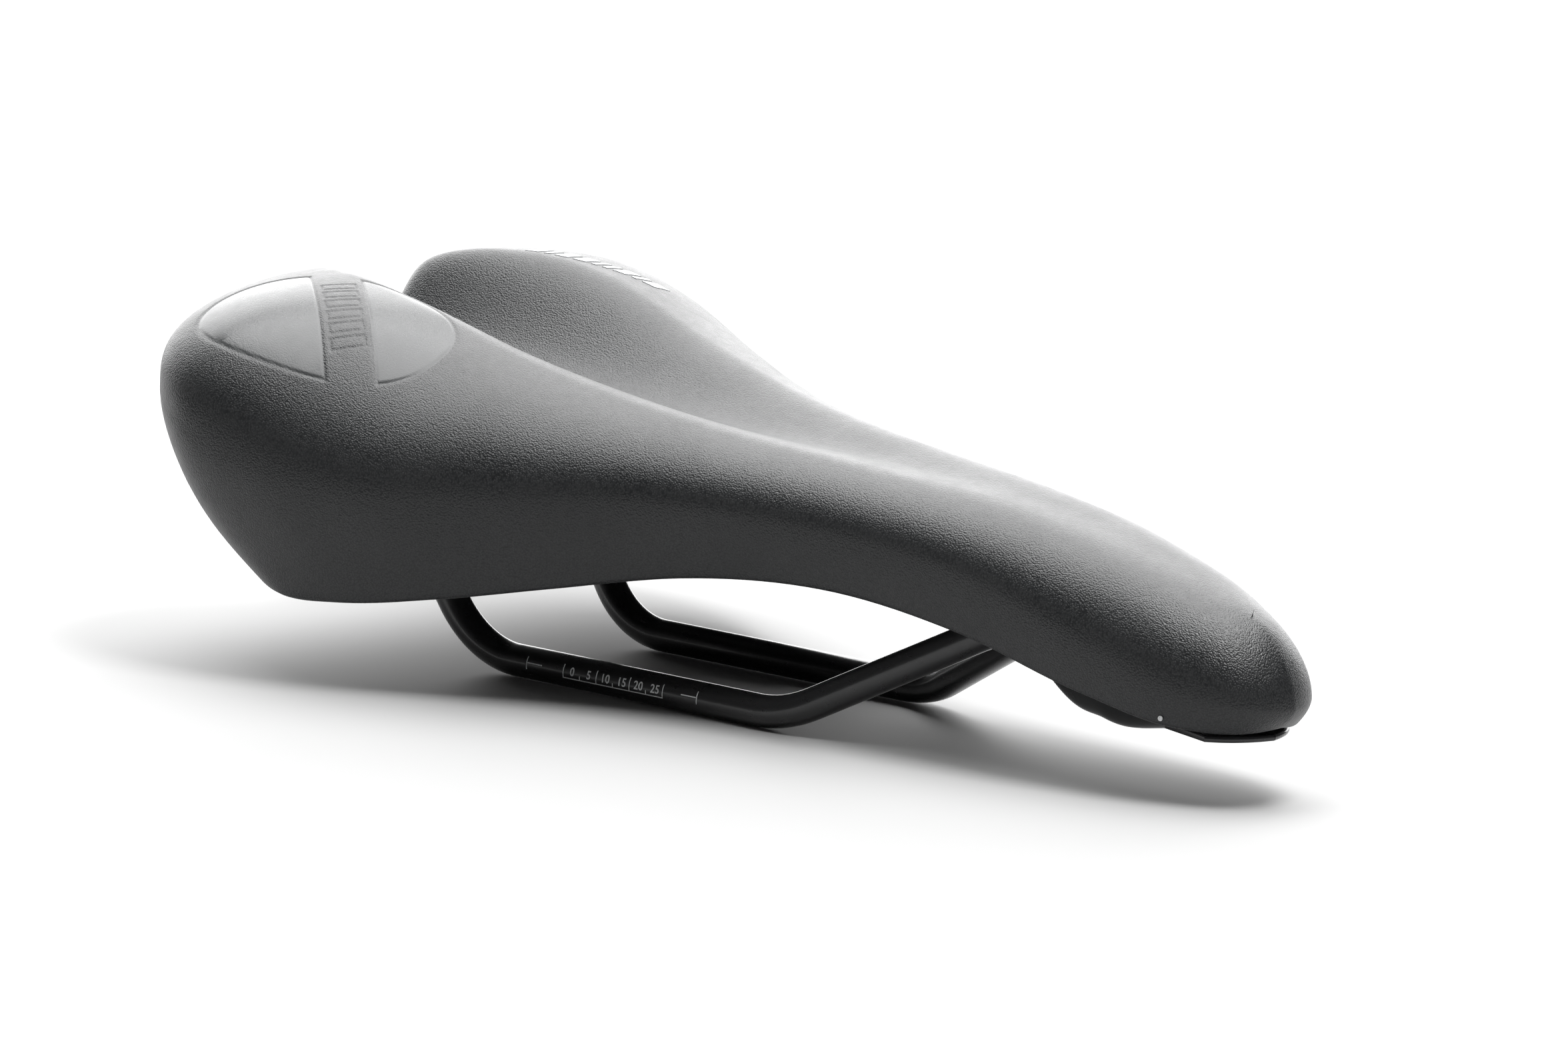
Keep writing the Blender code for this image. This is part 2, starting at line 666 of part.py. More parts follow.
def build_staples(layers, material):
    """Crowns of the staples that hold the cover's lip to the shell, each close to one flat of the lip."""
    lip = layers["lip_in"]
    length, width, height = STAPLE_SIZE
    for number, column in enumerate(STAPLE_COLUMNS, start=1):
        low = lip[-1][column: column + 2]
        high = lip[-2][column: column + 2]
        along = unit(low[1] - low[0] + high[1] - high[0])
        climb = (high[0] + high[1]) - (low[0] + low[1])
        normal = unit(np.cross(climb, along))
        across = np.cross(normal, along)
        corners = np.concatenate([low, high])
        centre = corners.mean(axis=0)
        if np.dot(normal[:2], centre[:2]) > 0:
            normal = -normal
        lift = np.max((corners - centre) @ normal) + GAP
        for side, flip in (("right", np.ones(3)), ("left", MIRROR)):
            points = []
            for c in (0.0, height):
                for a, b in ((-0.5, -0.5), (0.5, -0.5), (0.5, 0.5), (-0.5, 0.5)):
                    points.append((centre + along * a * length + across * b * width + normal * (lift + c)) * flip)
            make_object(f"staple_{side}_{number:02d}", *box_faces(points), material)


def box_faces(points):
    """The box's points with faces that point outwards whichever way round its frame is."""
    faces = [(3, 2, 1, 0), (4, 5, 6, 7), (0, 1, 5, 4), (1, 2, 6, 5), (2, 3, 7, 6), (3, 0, 4, 7)]
    turn = np.dot(np.cross(points[1] - points[0], points[3] - points[0]), points[4] - points[0])
    if turn < 0:
        faces = [face[::-1] for face in faces]
    return points, faces


def main():
    clear_scene()
    cover_skin = make_material("cover_skin", (0.085, 0.087, 0.090), 0.48)
    foam_grey = make_material("foam_grey", (0.36, 0.36, 0.35), 0.95)
    shell_black = make_material("shell_black", (0.030, 0.030, 0.032), 0.42)
    socket_black = make_material("socket_black", (0.022, 0.022, 0.024), 0.22)
    rail_black = make_material("rail_black", (0.020, 0.020, 0.022), 0.28, 0.3)
    screw_steel = make_material("screw_steel", (0.30, 0.30, 0.31), 0.35, 1.0)
    staple_steel = make_material("staple_steel", (0.62, 0.62, 0.63), 0.30, 1.0)

    layers = make_layers()
    path = rail_path()
    build_cover(layers, cover_skin)
    build_foam(layers, foam_grey)
    shell = build_shell(layers, shell_black)
    build_rail(path, rail_black)

    hollow = space_below("hollow", layers["clear"])
    lowered = space_below("hollow_lowered", layers["clear"], depth=0.0042)
    for side in (-1, 1):
        socket = build_rear_socket(side, hollow, lowered, path, socket_black)
        word = "left" if side > 0 else "right"
        for place, offset in (("inner", 0.0130), ("outer", 0.0400)):
            centre = (RAIL_END[0] + 0.0085, side * offset)
            screw_in(shell, socket, hollow, f"screw_{word}_{place}", centre, REAR_GRIP, screw_steel)
    nose = build_nose_socket(hollow, path, socket_black)
    for place, x in (("rear", 0.1130), ("front", 0.1475)):
        screw_in(shell, nose, hollow, f"screw_nose_{place}", (x, 0.0), NOSE_GRIP, screw_steel)
    build_ribs(shell, layers)
    build_staples(layers, staple_steel)


main()
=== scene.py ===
"""Bicycle saddle: detailed pieces, materials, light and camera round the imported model, in metres."""
import math

import bmesh
import bpy
import numpy as np
from mathutils import Matrix, Vector, noise
from mathutils.bvhtree import BVHTree


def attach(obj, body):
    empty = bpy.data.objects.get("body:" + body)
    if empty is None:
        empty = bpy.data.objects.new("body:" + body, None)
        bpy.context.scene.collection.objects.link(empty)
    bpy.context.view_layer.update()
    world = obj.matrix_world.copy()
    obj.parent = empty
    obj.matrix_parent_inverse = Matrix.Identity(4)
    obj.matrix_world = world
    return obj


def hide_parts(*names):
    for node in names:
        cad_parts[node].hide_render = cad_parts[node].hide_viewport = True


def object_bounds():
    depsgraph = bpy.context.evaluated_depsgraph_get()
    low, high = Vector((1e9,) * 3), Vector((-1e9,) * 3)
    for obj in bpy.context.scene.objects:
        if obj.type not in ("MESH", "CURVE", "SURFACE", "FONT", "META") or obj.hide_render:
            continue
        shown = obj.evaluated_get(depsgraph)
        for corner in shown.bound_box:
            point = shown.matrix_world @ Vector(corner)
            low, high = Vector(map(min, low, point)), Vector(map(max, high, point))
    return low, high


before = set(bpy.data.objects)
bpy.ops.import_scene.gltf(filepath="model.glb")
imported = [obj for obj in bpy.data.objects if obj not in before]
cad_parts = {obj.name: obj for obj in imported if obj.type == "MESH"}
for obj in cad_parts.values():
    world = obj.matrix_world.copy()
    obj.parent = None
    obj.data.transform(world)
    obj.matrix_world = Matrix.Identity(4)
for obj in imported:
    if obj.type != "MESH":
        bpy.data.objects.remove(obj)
cad_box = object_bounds()

MIRROR = np.array([1.0, -1.0, 1.0])
GAP = 0.0004
INNER_GAP = 0.0006

# The saddle's surface: right-hand points from tail to nose, as in the CAD, but the widest line is lower at
# the nose.
WIDEST = [
    (-0.1010, 0.0000, 0.0500), (-0.1055, -0.0110, 0.0570), (-0.1100, -0.0260, 0.0630),
    (-0.1100, -0.0440, 0.0605), (-0.1020, -0.0605, 0.0550), (-0.0860, -0.0710, 0.0480),
    (-0.0620, -0.0720, 0.0420), (-0.0380, -0.0650, 0.0395), (-0.0120, -0.0505, 0.0400),
    (0.0180, -0.0360, 0.0420), (0.0550, -0.0270, 0.0410), (0.0950, -0.0235, 0.0370),
    (0.1280, -0.0215, 0.0275), (0.1520, -0.0170, 0.0200), (0.1650, -0.0090, 0.0172),
    (0.1685, 0.0000, 0.0168),
]
HEM = [
    (-0.0900, 0.0000, 0.0320), (-0.0900, -0.0140, 0.0310), (-0.0885, -0.0300, 0.0285),
    (-0.0830, -0.0460, 0.0240), (-0.0730, -0.0580, 0.0170), (-0.0600, -0.0630, 0.0140),
    (-0.0460, -0.0620, 0.0145), (-0.0260, -0.0540, 0.0170), (-0.0040, -0.0420, 0.0210),
    (0.0240, -0.0300, 0.0260), (0.0580, -0.0240, 0.0280), (0.0950, -0.0215, 0.0240),
    (0.1280, -0.0200, 0.0163), (0.1500, -0.0160, 0.0120), (0.1605, -0.0090, 0.0111),
    (0.1645, 0.0000, 0.0120),
]
SPINE = [
    -0.0840, -0.0810, -0.0775, -0.0730, -0.0660, -0.0560, -0.0410, -0.0215,
    0.0007, 0.0265, 0.0584, 0.0928, 0.1212, 0.1418, 0.1530, 0.1560,
]
CHANNEL = [
    (-0.100, 0.0570), (-0.080, 0.0580), (-0.060, 0.0570), (-0.030, 0.0555), (0.000, 0.0540), (0.030, 0.0530),
    (0.060, 0.0520), (0.090, 0.0500), (0.120, 0.0455), (0.145, 0.0385), (0.160, 0.0320), (0.1685, 0.0260),
]
RIDGE = [
    (-0.110, 0.0730), (-0.097, 0.0762), (-0.082, 0.0775), (-0.060, 0.0755), (-0.030, 0.0685), (0.000, 0.0620),
    (0.030, 0.0575), (0.060, 0.0545), (0.090, 0.0513), (0.120, 0.0463), (0.145, 0.0390), (0.160, 0.0320),
    (0.1685, 0.0260),
]
RIDGE_OFFSET = [
    (-0.110, 0.0190), (-0.097, 0.0220), (-0.080, 0.0270), (-0.060, 0.0300), (-0.040, 0.0290), (0.000, 0.0230),
    (0.040, 0.0170), (0.080, 0.0130), (0.120, 0.0110), (0.164, 0.0090),
]
OUTSIDE_FALL = 3.5
ROUND_NOSE = 2.1
ROUND_TAIL = 3.8
ROUND_SHELL = 2.0
TOP_SHARE = 0.86                # the evenly spaced rows end here, on the way out to the widest line
SKIRT_CURVE = 1.6
COVER_THICKNESS = 0.0012
SHELL_THICKNESS = 0.0024
EDGE_FOAM = 0.0012
SIDE_FOAM = 0.0030
TAIL_FOAM = 0.0150
NOSE_FOAM = 0.0045
LIP_HEIGHT = 0.0080
ROLL_DROP = 0.0022
EDGE_RISE = 0.0008
SHALLOWEST_SHOULDER = 0.0015
LIP_OUT = 2 * INNER_GAP + SHELL_THICKNESS
LIP_IN = LIP_OUT + COVER_THICKNESS

# The debossed panel on the right wing, and the row of bars on the left one, seen from above.
PANEL_CENTRE = (-0.0670, -0.0455)
PANEL_TURN = math.radians(12)
PANEL_HALF = (0.0300, 0.0180)
PANEL_DEPTH = 0.00012
PANEL_SQUARENESS = 2.2
PANEL_LOWEST = 0.048            # the panel's mask ends here, well above the sides
PANEL_EDGE = 0.0003
GROOVE_DEPTH = 0.00024
GROOVE_WIDTH = 0.00028
BAND_TURN = math.radians(-39)   # the band across the panel, which keeps the plain leather
BAND_OFFSET = 0.0035
BAND_HALF = 0.0053
BAND_MARGIN = 0.0010
BAND_CELLS = (-0.0110, -0.0062, -0.0014, 0.0034, 0.0082, 0.0130)
CELL_HALF = (0.0015, 0.0036)
CELL_LINE_DEPTH = 0.00022
CELL_LINE_WIDTH = 0.00026
BARS_CENTRE = (-0.0655, 0.0350)
BARS_TURN = math.radians(20)
BAR_WIDTHS = (0.0030, 0.0012, 0.0030, 0.0030, 0.0012, 0.0012, 0.0030, 0.0012, 0.0030)
BAR_SPACE = 0.0014
BAR_HEIGHT = 0.0046
BAR_LEAN = 0.35
BAR_LIFT = 0.0001
BAR_GRID = (6, 11)
PIP_PLACE = (0.1480, -0.0176, 0.0141)
PIP_RADIUS = 0.00055
PIP_HEIGHT = 0.00045
PIP_ROOT = 0.0002
PIP_TILT = math.radians(90)
PIP_TURN = math.radians(14)

# The cover's relief: low waves all over, a fuller rear corner, and folds there (start, end, width, height).
FINE = 4                        # fine steps to one plain step of the cover's grid
WAVE_HEIGHT = 0.00016
WAVE_SCALE = 38
CORNER = (-0.0850, -0.0540, 0.0290)
CORNER_FULLNESS = 0.0014
CORNER_REACH = 0.016
FOLDS = [
    ((-0.1015, -0.0500, 0.0350), (-0.0860, -0.0640, 0.0370), 0.0016, 0.00050),
    ((-0.0960, -0.0470, 0.0290), (-0.0790, -0.0620, 0.0280), 0.0014, 0.00045),
    ((-0.1040, -0.0420, 0.0420), (-0.0960, -0.0560, 0.0440), 0.0018, 0.00030),
]
FOLD_REACH = 0.006
POLISH_DEPTH = 0.010            # how far below the ridges the polish fades out

RAIL_RADIUS = 0.0035
RAIL_HALF_SPACING = 0.022
NOSE_HALF_SPACING = 0.008
PRINT_DEPTH = 0.00006
DIGIT_SIZE = 0.0026
DIGIT_BOLDNESS = 0.00004
SCALE_LIFT = math.radians(9)
SCALE_FIRST = -0.0142
SCALE_STEP = 0.0049
SCALE_LINE = 0.00024
SCALE_LOW, SCALE_HIGH = -0.0012, 0.0016
BRACKET_PLACE = 0.0252
BRACKET_REACH = 0.0205
BRACKET_HEIGHT = 0.0001
ROD_END = [(0.0, 0.80), (0.0005, 0.97), (0.0011, 1.0)]  # distance back from the end, share of the radius
RAIL_END = (-0.0772, -0.0280, 0.0402)
RAIL_CORNERS = [
    ((-0.0633, -0.0255, 0.0322), 0.014), ((-0.0432, -0.0220, 0.0000), 0.022),
    ((0.0477, -0.0220, 0.0000), 0.028), ((0.0990, -NOSE_HALF_SPACING, 0.0258), 0.040),
    ((0.1340, -NOSE_HALF_SPACING, 0.0266), NOSE_HALF_SPACING),
]

# Ribs under the shell, each from end to end as seen from above.
RIB_RUNS = [
    ((-0.0530, -0.0100), (0.0450, -0.0100)), ((-0.0530, 0.0100), (0.0450, 0.0100)),
    ((0.0460, -0.0150), (0.0460, 0.0150)), ((0.0040, -0.0280), (0.0040, 0.0280)),
    ((-0.0380, -0.0440), (-0.0380, 0.0440)),
]
RIB_STATIONS = 60
RIB_HALF = 0.0010
RIB_DEPTH = 0.0040
RIB_BITE = 0.0006
RIB_FADE = 0.06                 # share of a rib's length over which its ends rise
RIB_TAPER = 0.8

# The keel, from back to front: x, half width low down, lowest z, and half width at the top.
KEEL_STATIONS = [
    (0.1010, 0.0120, 0.0270, 0.0130), (0.1070, 0.0065, 0.0140, 0.0130), (0.1200, 0.0052, 0.0076, 0.0130),
    (0.1410, 0.0075, 0.0088, 0.0128), (0.1530, 0.0090, 0.0090, 0.0118), (0.1600, 0.0080, 0.0095, 0.0090),
]
KEEL_TOP = 0.0270
KEEL_SECTIONS = 60
KEEL_SPOKES = 48
PLATE_ROOT = (0.1400, -0.0072)  # where the plate runs back into the keel
PLATE_MARGIN = 0.0009
PLATE_MIDDLE = 0.01030
PLATE_ROUND = 0.00075


# ---------------------------------------------------------------- the surface

def slopes(values, knots):
    """The slope at each knot, from the spans on both sides of it."""
    spans = np.diff(knots)[:, None]
    rates = np.diff(values, axis=0) / spans
    inner = (rates[:-1] * spans[1:] + rates[1:] * spans[:-1]) / (spans[:-1] + spans[1:])
    return np.vstack([2 * rates[0] - inner[0], inner, 2 * rates[-1] - inner[-1]])


def read_curve(values, knots, places):
    """The smooth curve through the values, read at places between its knots."""
    places = np.clip(places, knots[0], knots[-1])
    index = np.clip(np.searchsorted(knots, places, side="right") - 1, 0, len(knots) - 2)
    span = (knots[index + 1] - knots[index])[:, None]
    u = (places - knots[index])[:, None] / span
    slope = slopes(values, knots)
    start = (2 * u**3 - 3 * u**2 + 1) * values[index] + (u**3 - 2 * u**2 + u) * span * slope[index]
    end = (3 * u**2 - 2 * u**3) * values[index + 1] + (u**3 - u**2) * span * slope[index + 1]
    return start + end


def read_line(points, places):
    """A smooth line through the points, read at places counted in points."""
    points = np.array(points, float)
    lengths = np.linalg.norm(np.diff(points, axis=0), axis=1)
    knots = np.concatenate([[0.0], np.cumsum(lengths)])
    return read_curve(points, knots, np.interp(places, np.arange(len(points)), knots))


def read_profile(profile, x):
    """A profile's height or offset at each x."""
    profile = np.array(profile, float)
    return read_curve(profile[:, 1:], profile[:, 0], np.ravel(x))[:, 0].reshape(np.shape(x))


def ramp(value):
    value = np.clip(value, 0.0, 1.0)
    return value * value * (3 - 2 * value)


def ridge_share(x, y):
    return ramp(np.abs(y) / read_profile(RIDGE_OFFSET, x))


def top_height(x, y):
    channel = read_profile(CHANNEL, x)
    ridge = read_profile(RIDGE, x)
    outside = np.maximum(np.abs(y) - read_profile(RIDGE_OFFSET, x), 0.0)
    return channel + (ridge - channel) * ridge_share(x, y) - OUTSIDE_FALL * outside**2


def foam_underside(x, y):
    under = NOSE_FOAM + (TAIL_FOAM - NOSE_FOAM) * ramp((0.110 - x) / 0.190)
    skin = COVER_THICKNESS + GAP + SIDE_FOAM
    return top_height(x, y) - skin - under * (0.25 + 0.75 * ridge_share(x, y))


def unit(vectors):
    return vectors / np.linalg.norm(vectors, axis=-1, keepdims=True)


def drape(widest, hem, spine, height, exponent, flat_rows, edge_rows, skirt):
    """A grid over the right half: even rows on top, closer ones round the shoulder, then the skirt's rows."""
    highest = height(widest[:, 0], widest[:, 1])
    widest = np.column_stack([widest[:, :2], np.minimum(widest[:, 2], highest - SHALLOWEST_SHOULDER)])
    drop = highest - widest[:, 2]
    outs = [TOP_SHARE * row / flat_rows * np.ones(len(widest)) for row in range(flat_rows)]
    remaining = (1 - TOP_SHARE**exponent) ** (1 / exponent)
    for row in range(edge_rows):
        outs.append((1 - (remaining * (1 - row / edge_rows)) ** exponent) ** (1 / exponent))
    rows = []
    for out in outs:
        x = spine + out * (widest[:, 0] - spine)
        y = out * widest[:, 1]
        fall = drop * (1 - (1 - out**exponent) ** (1 / exponent))
        rows.append(np.stack([x, y, height(x, y) - fall], axis=-1))
    rows.append(widest)
    for share in skirt:
        plan = (share**SKIRT_CURVE)[:, None] * (hem - widest)[:, :2]
        rows.append(np.column_stack([widest[:, :2] + plan, widest[:, 2] + share * (hem - widest)[:, 2]]))
    return np.array(rows)


def grid_normals(points):
    """Outward normals of a right-half grid, which is continued over the middle plane by its mirror image."""
    across = np.gradient(np.concatenate([points[1:2] * MIRROR, points]), axis=0)[1:]
    ghosts = np.concatenate([points[:, 1:2] * MIRROR, points, points[:, -2:-1] * MIRROR], axis=1)
    along = (ghosts[:, 2:] - ghosts[:, :-2]) / 2
    normals = np.cross(across, along)
    run = np.gradient(points[0], axis=0)
    normals[0] = np.stack([-run[:, 2], np.zeros(len(run)), run[:, 0]], axis=-1)
    return unit(normals)


def plan_inwards(line):
    """Unit vectors that point inwards from a right-half line, seen from above."""
    ghosts = np.concatenate([line[1:2] * MIRROR, line, line[-2:-1] * MIRROR])
    along = ghosts[2:] - ghosts[:-2]
    return unit(np.stack([-along[:, 1], along[:, 0], np.zeros(len(line))], axis=-1))


class Surface:
    """The saddle's layers at one choice of columns, each layer as a grid of points over the right half."""

    def __init__(self, steps):
        places = [np.linspace(span, span + 1, count, endpoint=False) for span, count in enumerate(steps)]
        places = np.concatenate(places + [[len(steps)]])
        self.widest = read_line(WIDEST, places)
        self.hem = read_line(HEM, places)
        self.spine = read_curve(np.array(SPINE)[:, None], np.arange(len(SPINE), dtype=float), places)[:, 0]
        self.round = ROUND_NOSE + (ROUND_TAIL - ROUND_NOSE) * ramp((-0.030 - self.widest[:, 0]) / 0.080)
        length = np.linalg.norm(self.hem - self.widest, axis=1)
        self.bottom = 1 - 0.5 * ROLL_DROP / length
        rough = self.outside(12, 8, [self.bottom * share for share in (0.25, 0.5, 0.75, 0.95, 1.0)])
        skin = grid_normals(rough)
        self.hem_skin = skin[-1]
        depth = COVER_THICKNESS + GAP
        self.rise = unit(rough[-2] - rough[-1]) * EDGE_RISE
        self.inner_widest = (rough - skin * (depth + SIDE_FOAM))[21]
        self.inner_hem = rough[-1] - self.hem_skin * (depth + EDGE_FOAM) + self.rise
        self.inwards = plan_inwards(self.inner_widest)
        inner_length = np.linalg.norm(self.inner_hem - self.inner_widest, axis=1)
        self.lip = np.maximum(1 - LIP_HEIGHT / inner_length, 0.3)

    def outside(self, flat_rows, edge_rows, skirt):
        return drape(self.widest, self.hem, self.spine, top_height, self.round, flat_rows, edge_rows, skirt)

    def under_foam(self, depth, flat_rows, edge_rows, skirt):
        return drape(
            self.inner_widest + self.inwards * depth,
            self.inner_hem - self.hem_skin * depth,
            self.spine,
            lambda x, y: foam_underside(x, y) - depth,
            np.full(len(self.spine), ROUND_SHELL),
            flat_rows,
            edge_rows,
            skirt,
        )

    def lip_rows(self, depth, count):
        """Rows of the turned-up lip at a depth below the foam, from its lower edge up."""
        shares = [self.lip + (1 - self.lip) * row / (count - 1) for row in range(count)]
        return self.under_foam(depth, 4, 4, shares)[:-count - 1:-1]


# ---------------------------------------------------------------- mesh building

def link_object(name, data):
    obj = bpy.data.objects.new(name, data)
    bpy.context.scene.collection.objects.link(obj)
    return obj


def make_piece(name, points, faces, material, smooth=True):
    """A piece from its points and faces, in one material."""
    mesh = bpy.data.meshes.new(name)
    mesh.from_pydata(np.asarray(points, float).tolist(), [], [list(map(int, face)) for face in faces])
    mesh.validate()
    if smooth:
        mesh.shade_smooth()
    mesh.materials.append(material)
    return link_object(name, mesh)


def rod_faces(first, end, sides, flip=False):
    """The two ends and the sides of a closed rod, whose rings of points run from one index to another."""
    last = end - sides
    faces = [tuple(range(first, first + sides)), tuple(reversed(range(last, end)))]
    for start in range(first, last, sides):
        for spoke in range(sides):
            after = (spoke + 1) % sides
            faces.append((start + after, start + spoke, start + sides + spoke, start + sides + after))
    return [face[::-1] for face in faces] if flip else faces


def both_halves(rows):
    """A right-half grid as full rings, from the right side's tail round the nose and back along the left."""
    rows = np.asarray(rows)
    return np.concatenate([rows, rows[:, -2:0:-1] * MIRROR], axis=1)


class SheetMesh:
    """Collects rings of points and the quads between them. The first ring of a sheet may lie on the spine."""

    def __init__(self):
        self.points = []
        self.faces = []
        self.count = 0

    def add(self, rings, spine=True):
        """Adds the rings' points, and returns the index of each point of each ring."""
        indices = []
        for number, ring in enumerate(rings):
            columns = len(ring)
            if spine and number == 0:
                half = columns // 2
                self.points.append(ring[: half + 1])
                index = [self.count + min(place, columns - place) for place in range(columns)]
                self.count += half + 1
            else:
                self.points.append(ring)
                index = [self.count + place for place in range(columns)]
                self.count += columns
            indices.append(np.array(index))
        return indices

    def join(self, upper, lower, flip=False):
        after_upper = np.roll(upper, -1)
        after_lower = np.roll(lower, -1)
        quads = np.stack([upper, lower, after_lower, after_upper], axis=1)
        self.faces.append(quads[:, ::-1] if flip else quads)

    def join_all(self, indices, flip=False):
        for upper, lower in zip(indices, indices[1:]):
            self.join(upper, lower, flip)

    def build(self, name, material):
        return make_piece(name, np.concatenate(self.points), np.concatenate(self.faces), material)


def half_turn(start, end, down, drop, count):
    """Rows of a half turn from one row to another, hanging by the drop."""
    middle = (start + end) / 2
    half = (start - end) / 2
    angles = [math.pi * (index + 1) / (count + 1) for index in range(count)]
    return [middle + half * math.cos(angle) + down * drop * math.sin(angle) for angle in angles]


def set_attribute(obj, name, values):
    attribute = obj.data.attributes.new(name, "FLOAT", "POINT")
    attribute.data.foreach_set("value", np.asarray(values, np.float32))


# ---------------------------------------------------------------- materials

class Nodes:
    """A short way to write one material's node tree."""

    def __init__(self, name):
        self.material = bpy.data.materials.new(name)
        self.material.use_nodes = True
        self.tree = self.material.node_tree
        self.shader = self.tree.nodes["Principled BSDF"]

    def set(self, **values):
        for name, value in values.items():
            self.shader.inputs[name.replace("_", " ")].default_value = value

    def add(self, kind, inputs=None, **settings):
        node = self.tree.nodes.new(kind)
        for name, value in settings.items():
            setattr(node, name, value)
        for name, value in (inputs or {}).items():
            if isinstance(value, bpy.types.NodeSocket):
                self.tree.links.new(value, node.inputs[name])
            else:
                node.inputs[name].default_value = value
        return node

    def link(self, socket, name):
        self.tree.links.new(socket, self.shader.inputs[name])

    def place(self, scale=(1.0, 1.0, 1.0), turn=(0.0, 0.0, 0.0)):
        values = {"Scale": scale, "Rotation": turn, "Vector": self.add("ShaderNodeTexCoord").outputs["Object"]}
        return self.add("ShaderNodeMapping", values).outputs["Vector"]

    def noise(self, vector, scale, detail=2.0, roughness=0.5):
        values = {"Vector": vector, "Scale": scale, "Detail": detail, "Roughness": roughness}
        return self.add("ShaderNodeTexNoise", values).outputs["Fac"]

    def cells(self, vector, scale, smoothness=0.6, randomness=1.0):
        values = {"Vector": vector, "Scale": scale, "Smoothness": smoothness, "Randomness": randomness}
        return self.add("ShaderNodeTexVoronoi", values, feature="SMOOTH_F1").outputs["Distance"]

    def math(self, operation, first, second=0.0, clamp=False):
        node = self.add("ShaderNodeMath", operation=operation, use_clamp=clamp)
        for place, value in enumerate((first, second)):
            if isinstance(value, bpy.types.NodeSocket):
                self.tree.links.new(value, node.inputs[place])
            else:
                node.inputs[place].default_value = value
        return node.outputs[0]

    def spread(self, value, low, high, new_low=0.0, new_high=1.0):
        values = {"Value": value, "From Min": low, "From Max": high, "To Min": new_low, "To Max": new_high}
        return self.add("ShaderNodeMapRange", values).outputs["Result"]

    def blend(self, share, first, second):
        node = self.add("ShaderNodeMix", data_type="RGBA")
        for socket, value in ((node.inputs[0], share), (node.inputs[6], first), (node.inputs[7], second)):
            if isinstance(value, bpy.types.NodeSocket):
                self.tree.links.new(value, socket)
            else:
                socket.default_value = value if isinstance(value, float) else (*value, 1.0)
        return node.outputs[2]

    def attribute(self, name):
        return self.add("ShaderNodeAttribute", attribute_name=name).outputs["Fac"]

    def bump(self, height, strength, distance):
        values = {"Height": height, "Strength": strength, "Distance": distance}
        self.link(self.add("ShaderNodeBump", values).outputs["Normal"], "Normal")


def cover_leather():
    """Charcoal synthetic leather: fine slanting pebbles with painted shade in their hollows, smoother in the
    debossed panel, polished on top.
    """
    n = Nodes("cover_leather")
    n.set(Sheen_Weight=0.11, Sheen_Roughness=0.35)
    panel = n.attribute("panel")
    polish = n.attribute("polish")
    slant = n.place((1.0, 1.5, 1.2), (0.0, 0.0, math.radians(38)))
    pebbles = n.cells(slant, 2250.0, 0.4)
    creases = n.noise(slant, 4200.0, 2.0, 0.6)
    height = n.math("ADD", n.math("MULTIPLY", pebbles, -0.85), n.math("MULTIPLY", creases, 0.30))
    keep = n.spread(panel, 0.0, 1.0, 1.0, 0.22)
    n.bump(n.math("MULTIPLY", height, keep), 0.85, 0.00014)
    patches = n.noise(n.place(), 45.0, 4.0, 0.6)
    dust = n.noise(n.place(), 420.0, 3.0, 0.55)
    # painted shade: the base colour darkens towards the hollows between the pebbles, where the bump sinks
    shaded_pebble_colour = n.blend(n.spread(pebbles, 0.10, 0.75), (0.030, 0.031, 0.032), (0.007, 0.008, 0.009))
    tone = n.blend(n.spread(patches, 0.35, 0.65, 0.0, 0.4), shaded_pebble_colour, (0.019, 0.020, 0.021))
    n.link(n.blend(panel, tone, (0.040, 0.042, 0.043)), "Base Color")
    rough = n.math("ADD", n.spread(patches, 0.3, 0.7, 0.36, 0.44), n.spread(dust, 0.3, 0.7, -0.03, 0.03))
    rough = n.math("SUBTRACT", rough, n.math("MULTIPLY", polish, 0.04))
    rough = n.math("SUBTRACT", rough, n.math("MULTIPLY", panel, 0.10))
    n.link(rough, "Roughness")
    return n.material


def foam():
    n = Nodes("foam_grey")
    n.set(Roughness=0.95, Sheen_Weight=0.2)
    cells = n.cells(n.place(), 900.0, 0.3)
    n.link(n.blend(n.spread(cells, 0.1, 0.7), (0.40, 0.40, 0.39), (0.28, 0.28, 0.27)), "Base Color")
    n.bump(cells, 0.8, 0.0005)
    return n.material


def moulded_plastic(name, colour, rough, grain, depth):
    """Black moulded plastic, with a fine spark-eroded texture and faint flow marks."""
    n = Nodes(name)
    fine = n.noise(n.place(), grain, 3.0, 0.6)
    flow = n.noise(n.place((1.0, 3.0, 3.0)), 60.0, 3.0, 0.5)
    lighter = tuple(value * 1.35 for value in colour)
    n.link(n.blend(n.spread(flow, 0.35, 0.65), colour, lighter), "Base Color")
    broad = n.spread(flow, 0.3, 0.7, rough - 0.05, rough + 0.05)
    n.link(n.math("ADD", broad, n.spread(fine, 0.3, 0.7, -0.04, 0.04)), "Roughness")
    n.bump(fine, 0.5, depth)
    return n.material


def rail_paint():
    """Black paint on steel rod: a slight orange peel, and dull scuffs where clamps have gripped."""
    n = Nodes("rail_black_paint")
    n.set(Coat_Weight=0.35, Coat_Roughness=0.12)
    peel = n.noise(n.place((0.5, 1.0, 1.0)), 800.0, 2.0, 0.4)
    scuffs = n.noise(n.place((0.25, 2.0, 2.0)), 1500.0, 4.0, 0.65)
    marks = n.spread(scuffs, 0.62, 0.70)
    n.link(n.blend(n.math("MULTIPLY", marks, 0.5), (0.014, 0.014, 0.015), (0.050, 0.050, 0.052)), "Base Color")
    n.link(n.math("ADD", n.spread(peel, 0.3, 0.7, 0.27, 0.33), n.math("MULTIPLY", marks, 0.15)), "Roughness")
    n.bump(peel, 0.35, 0.00004)
    return n.material


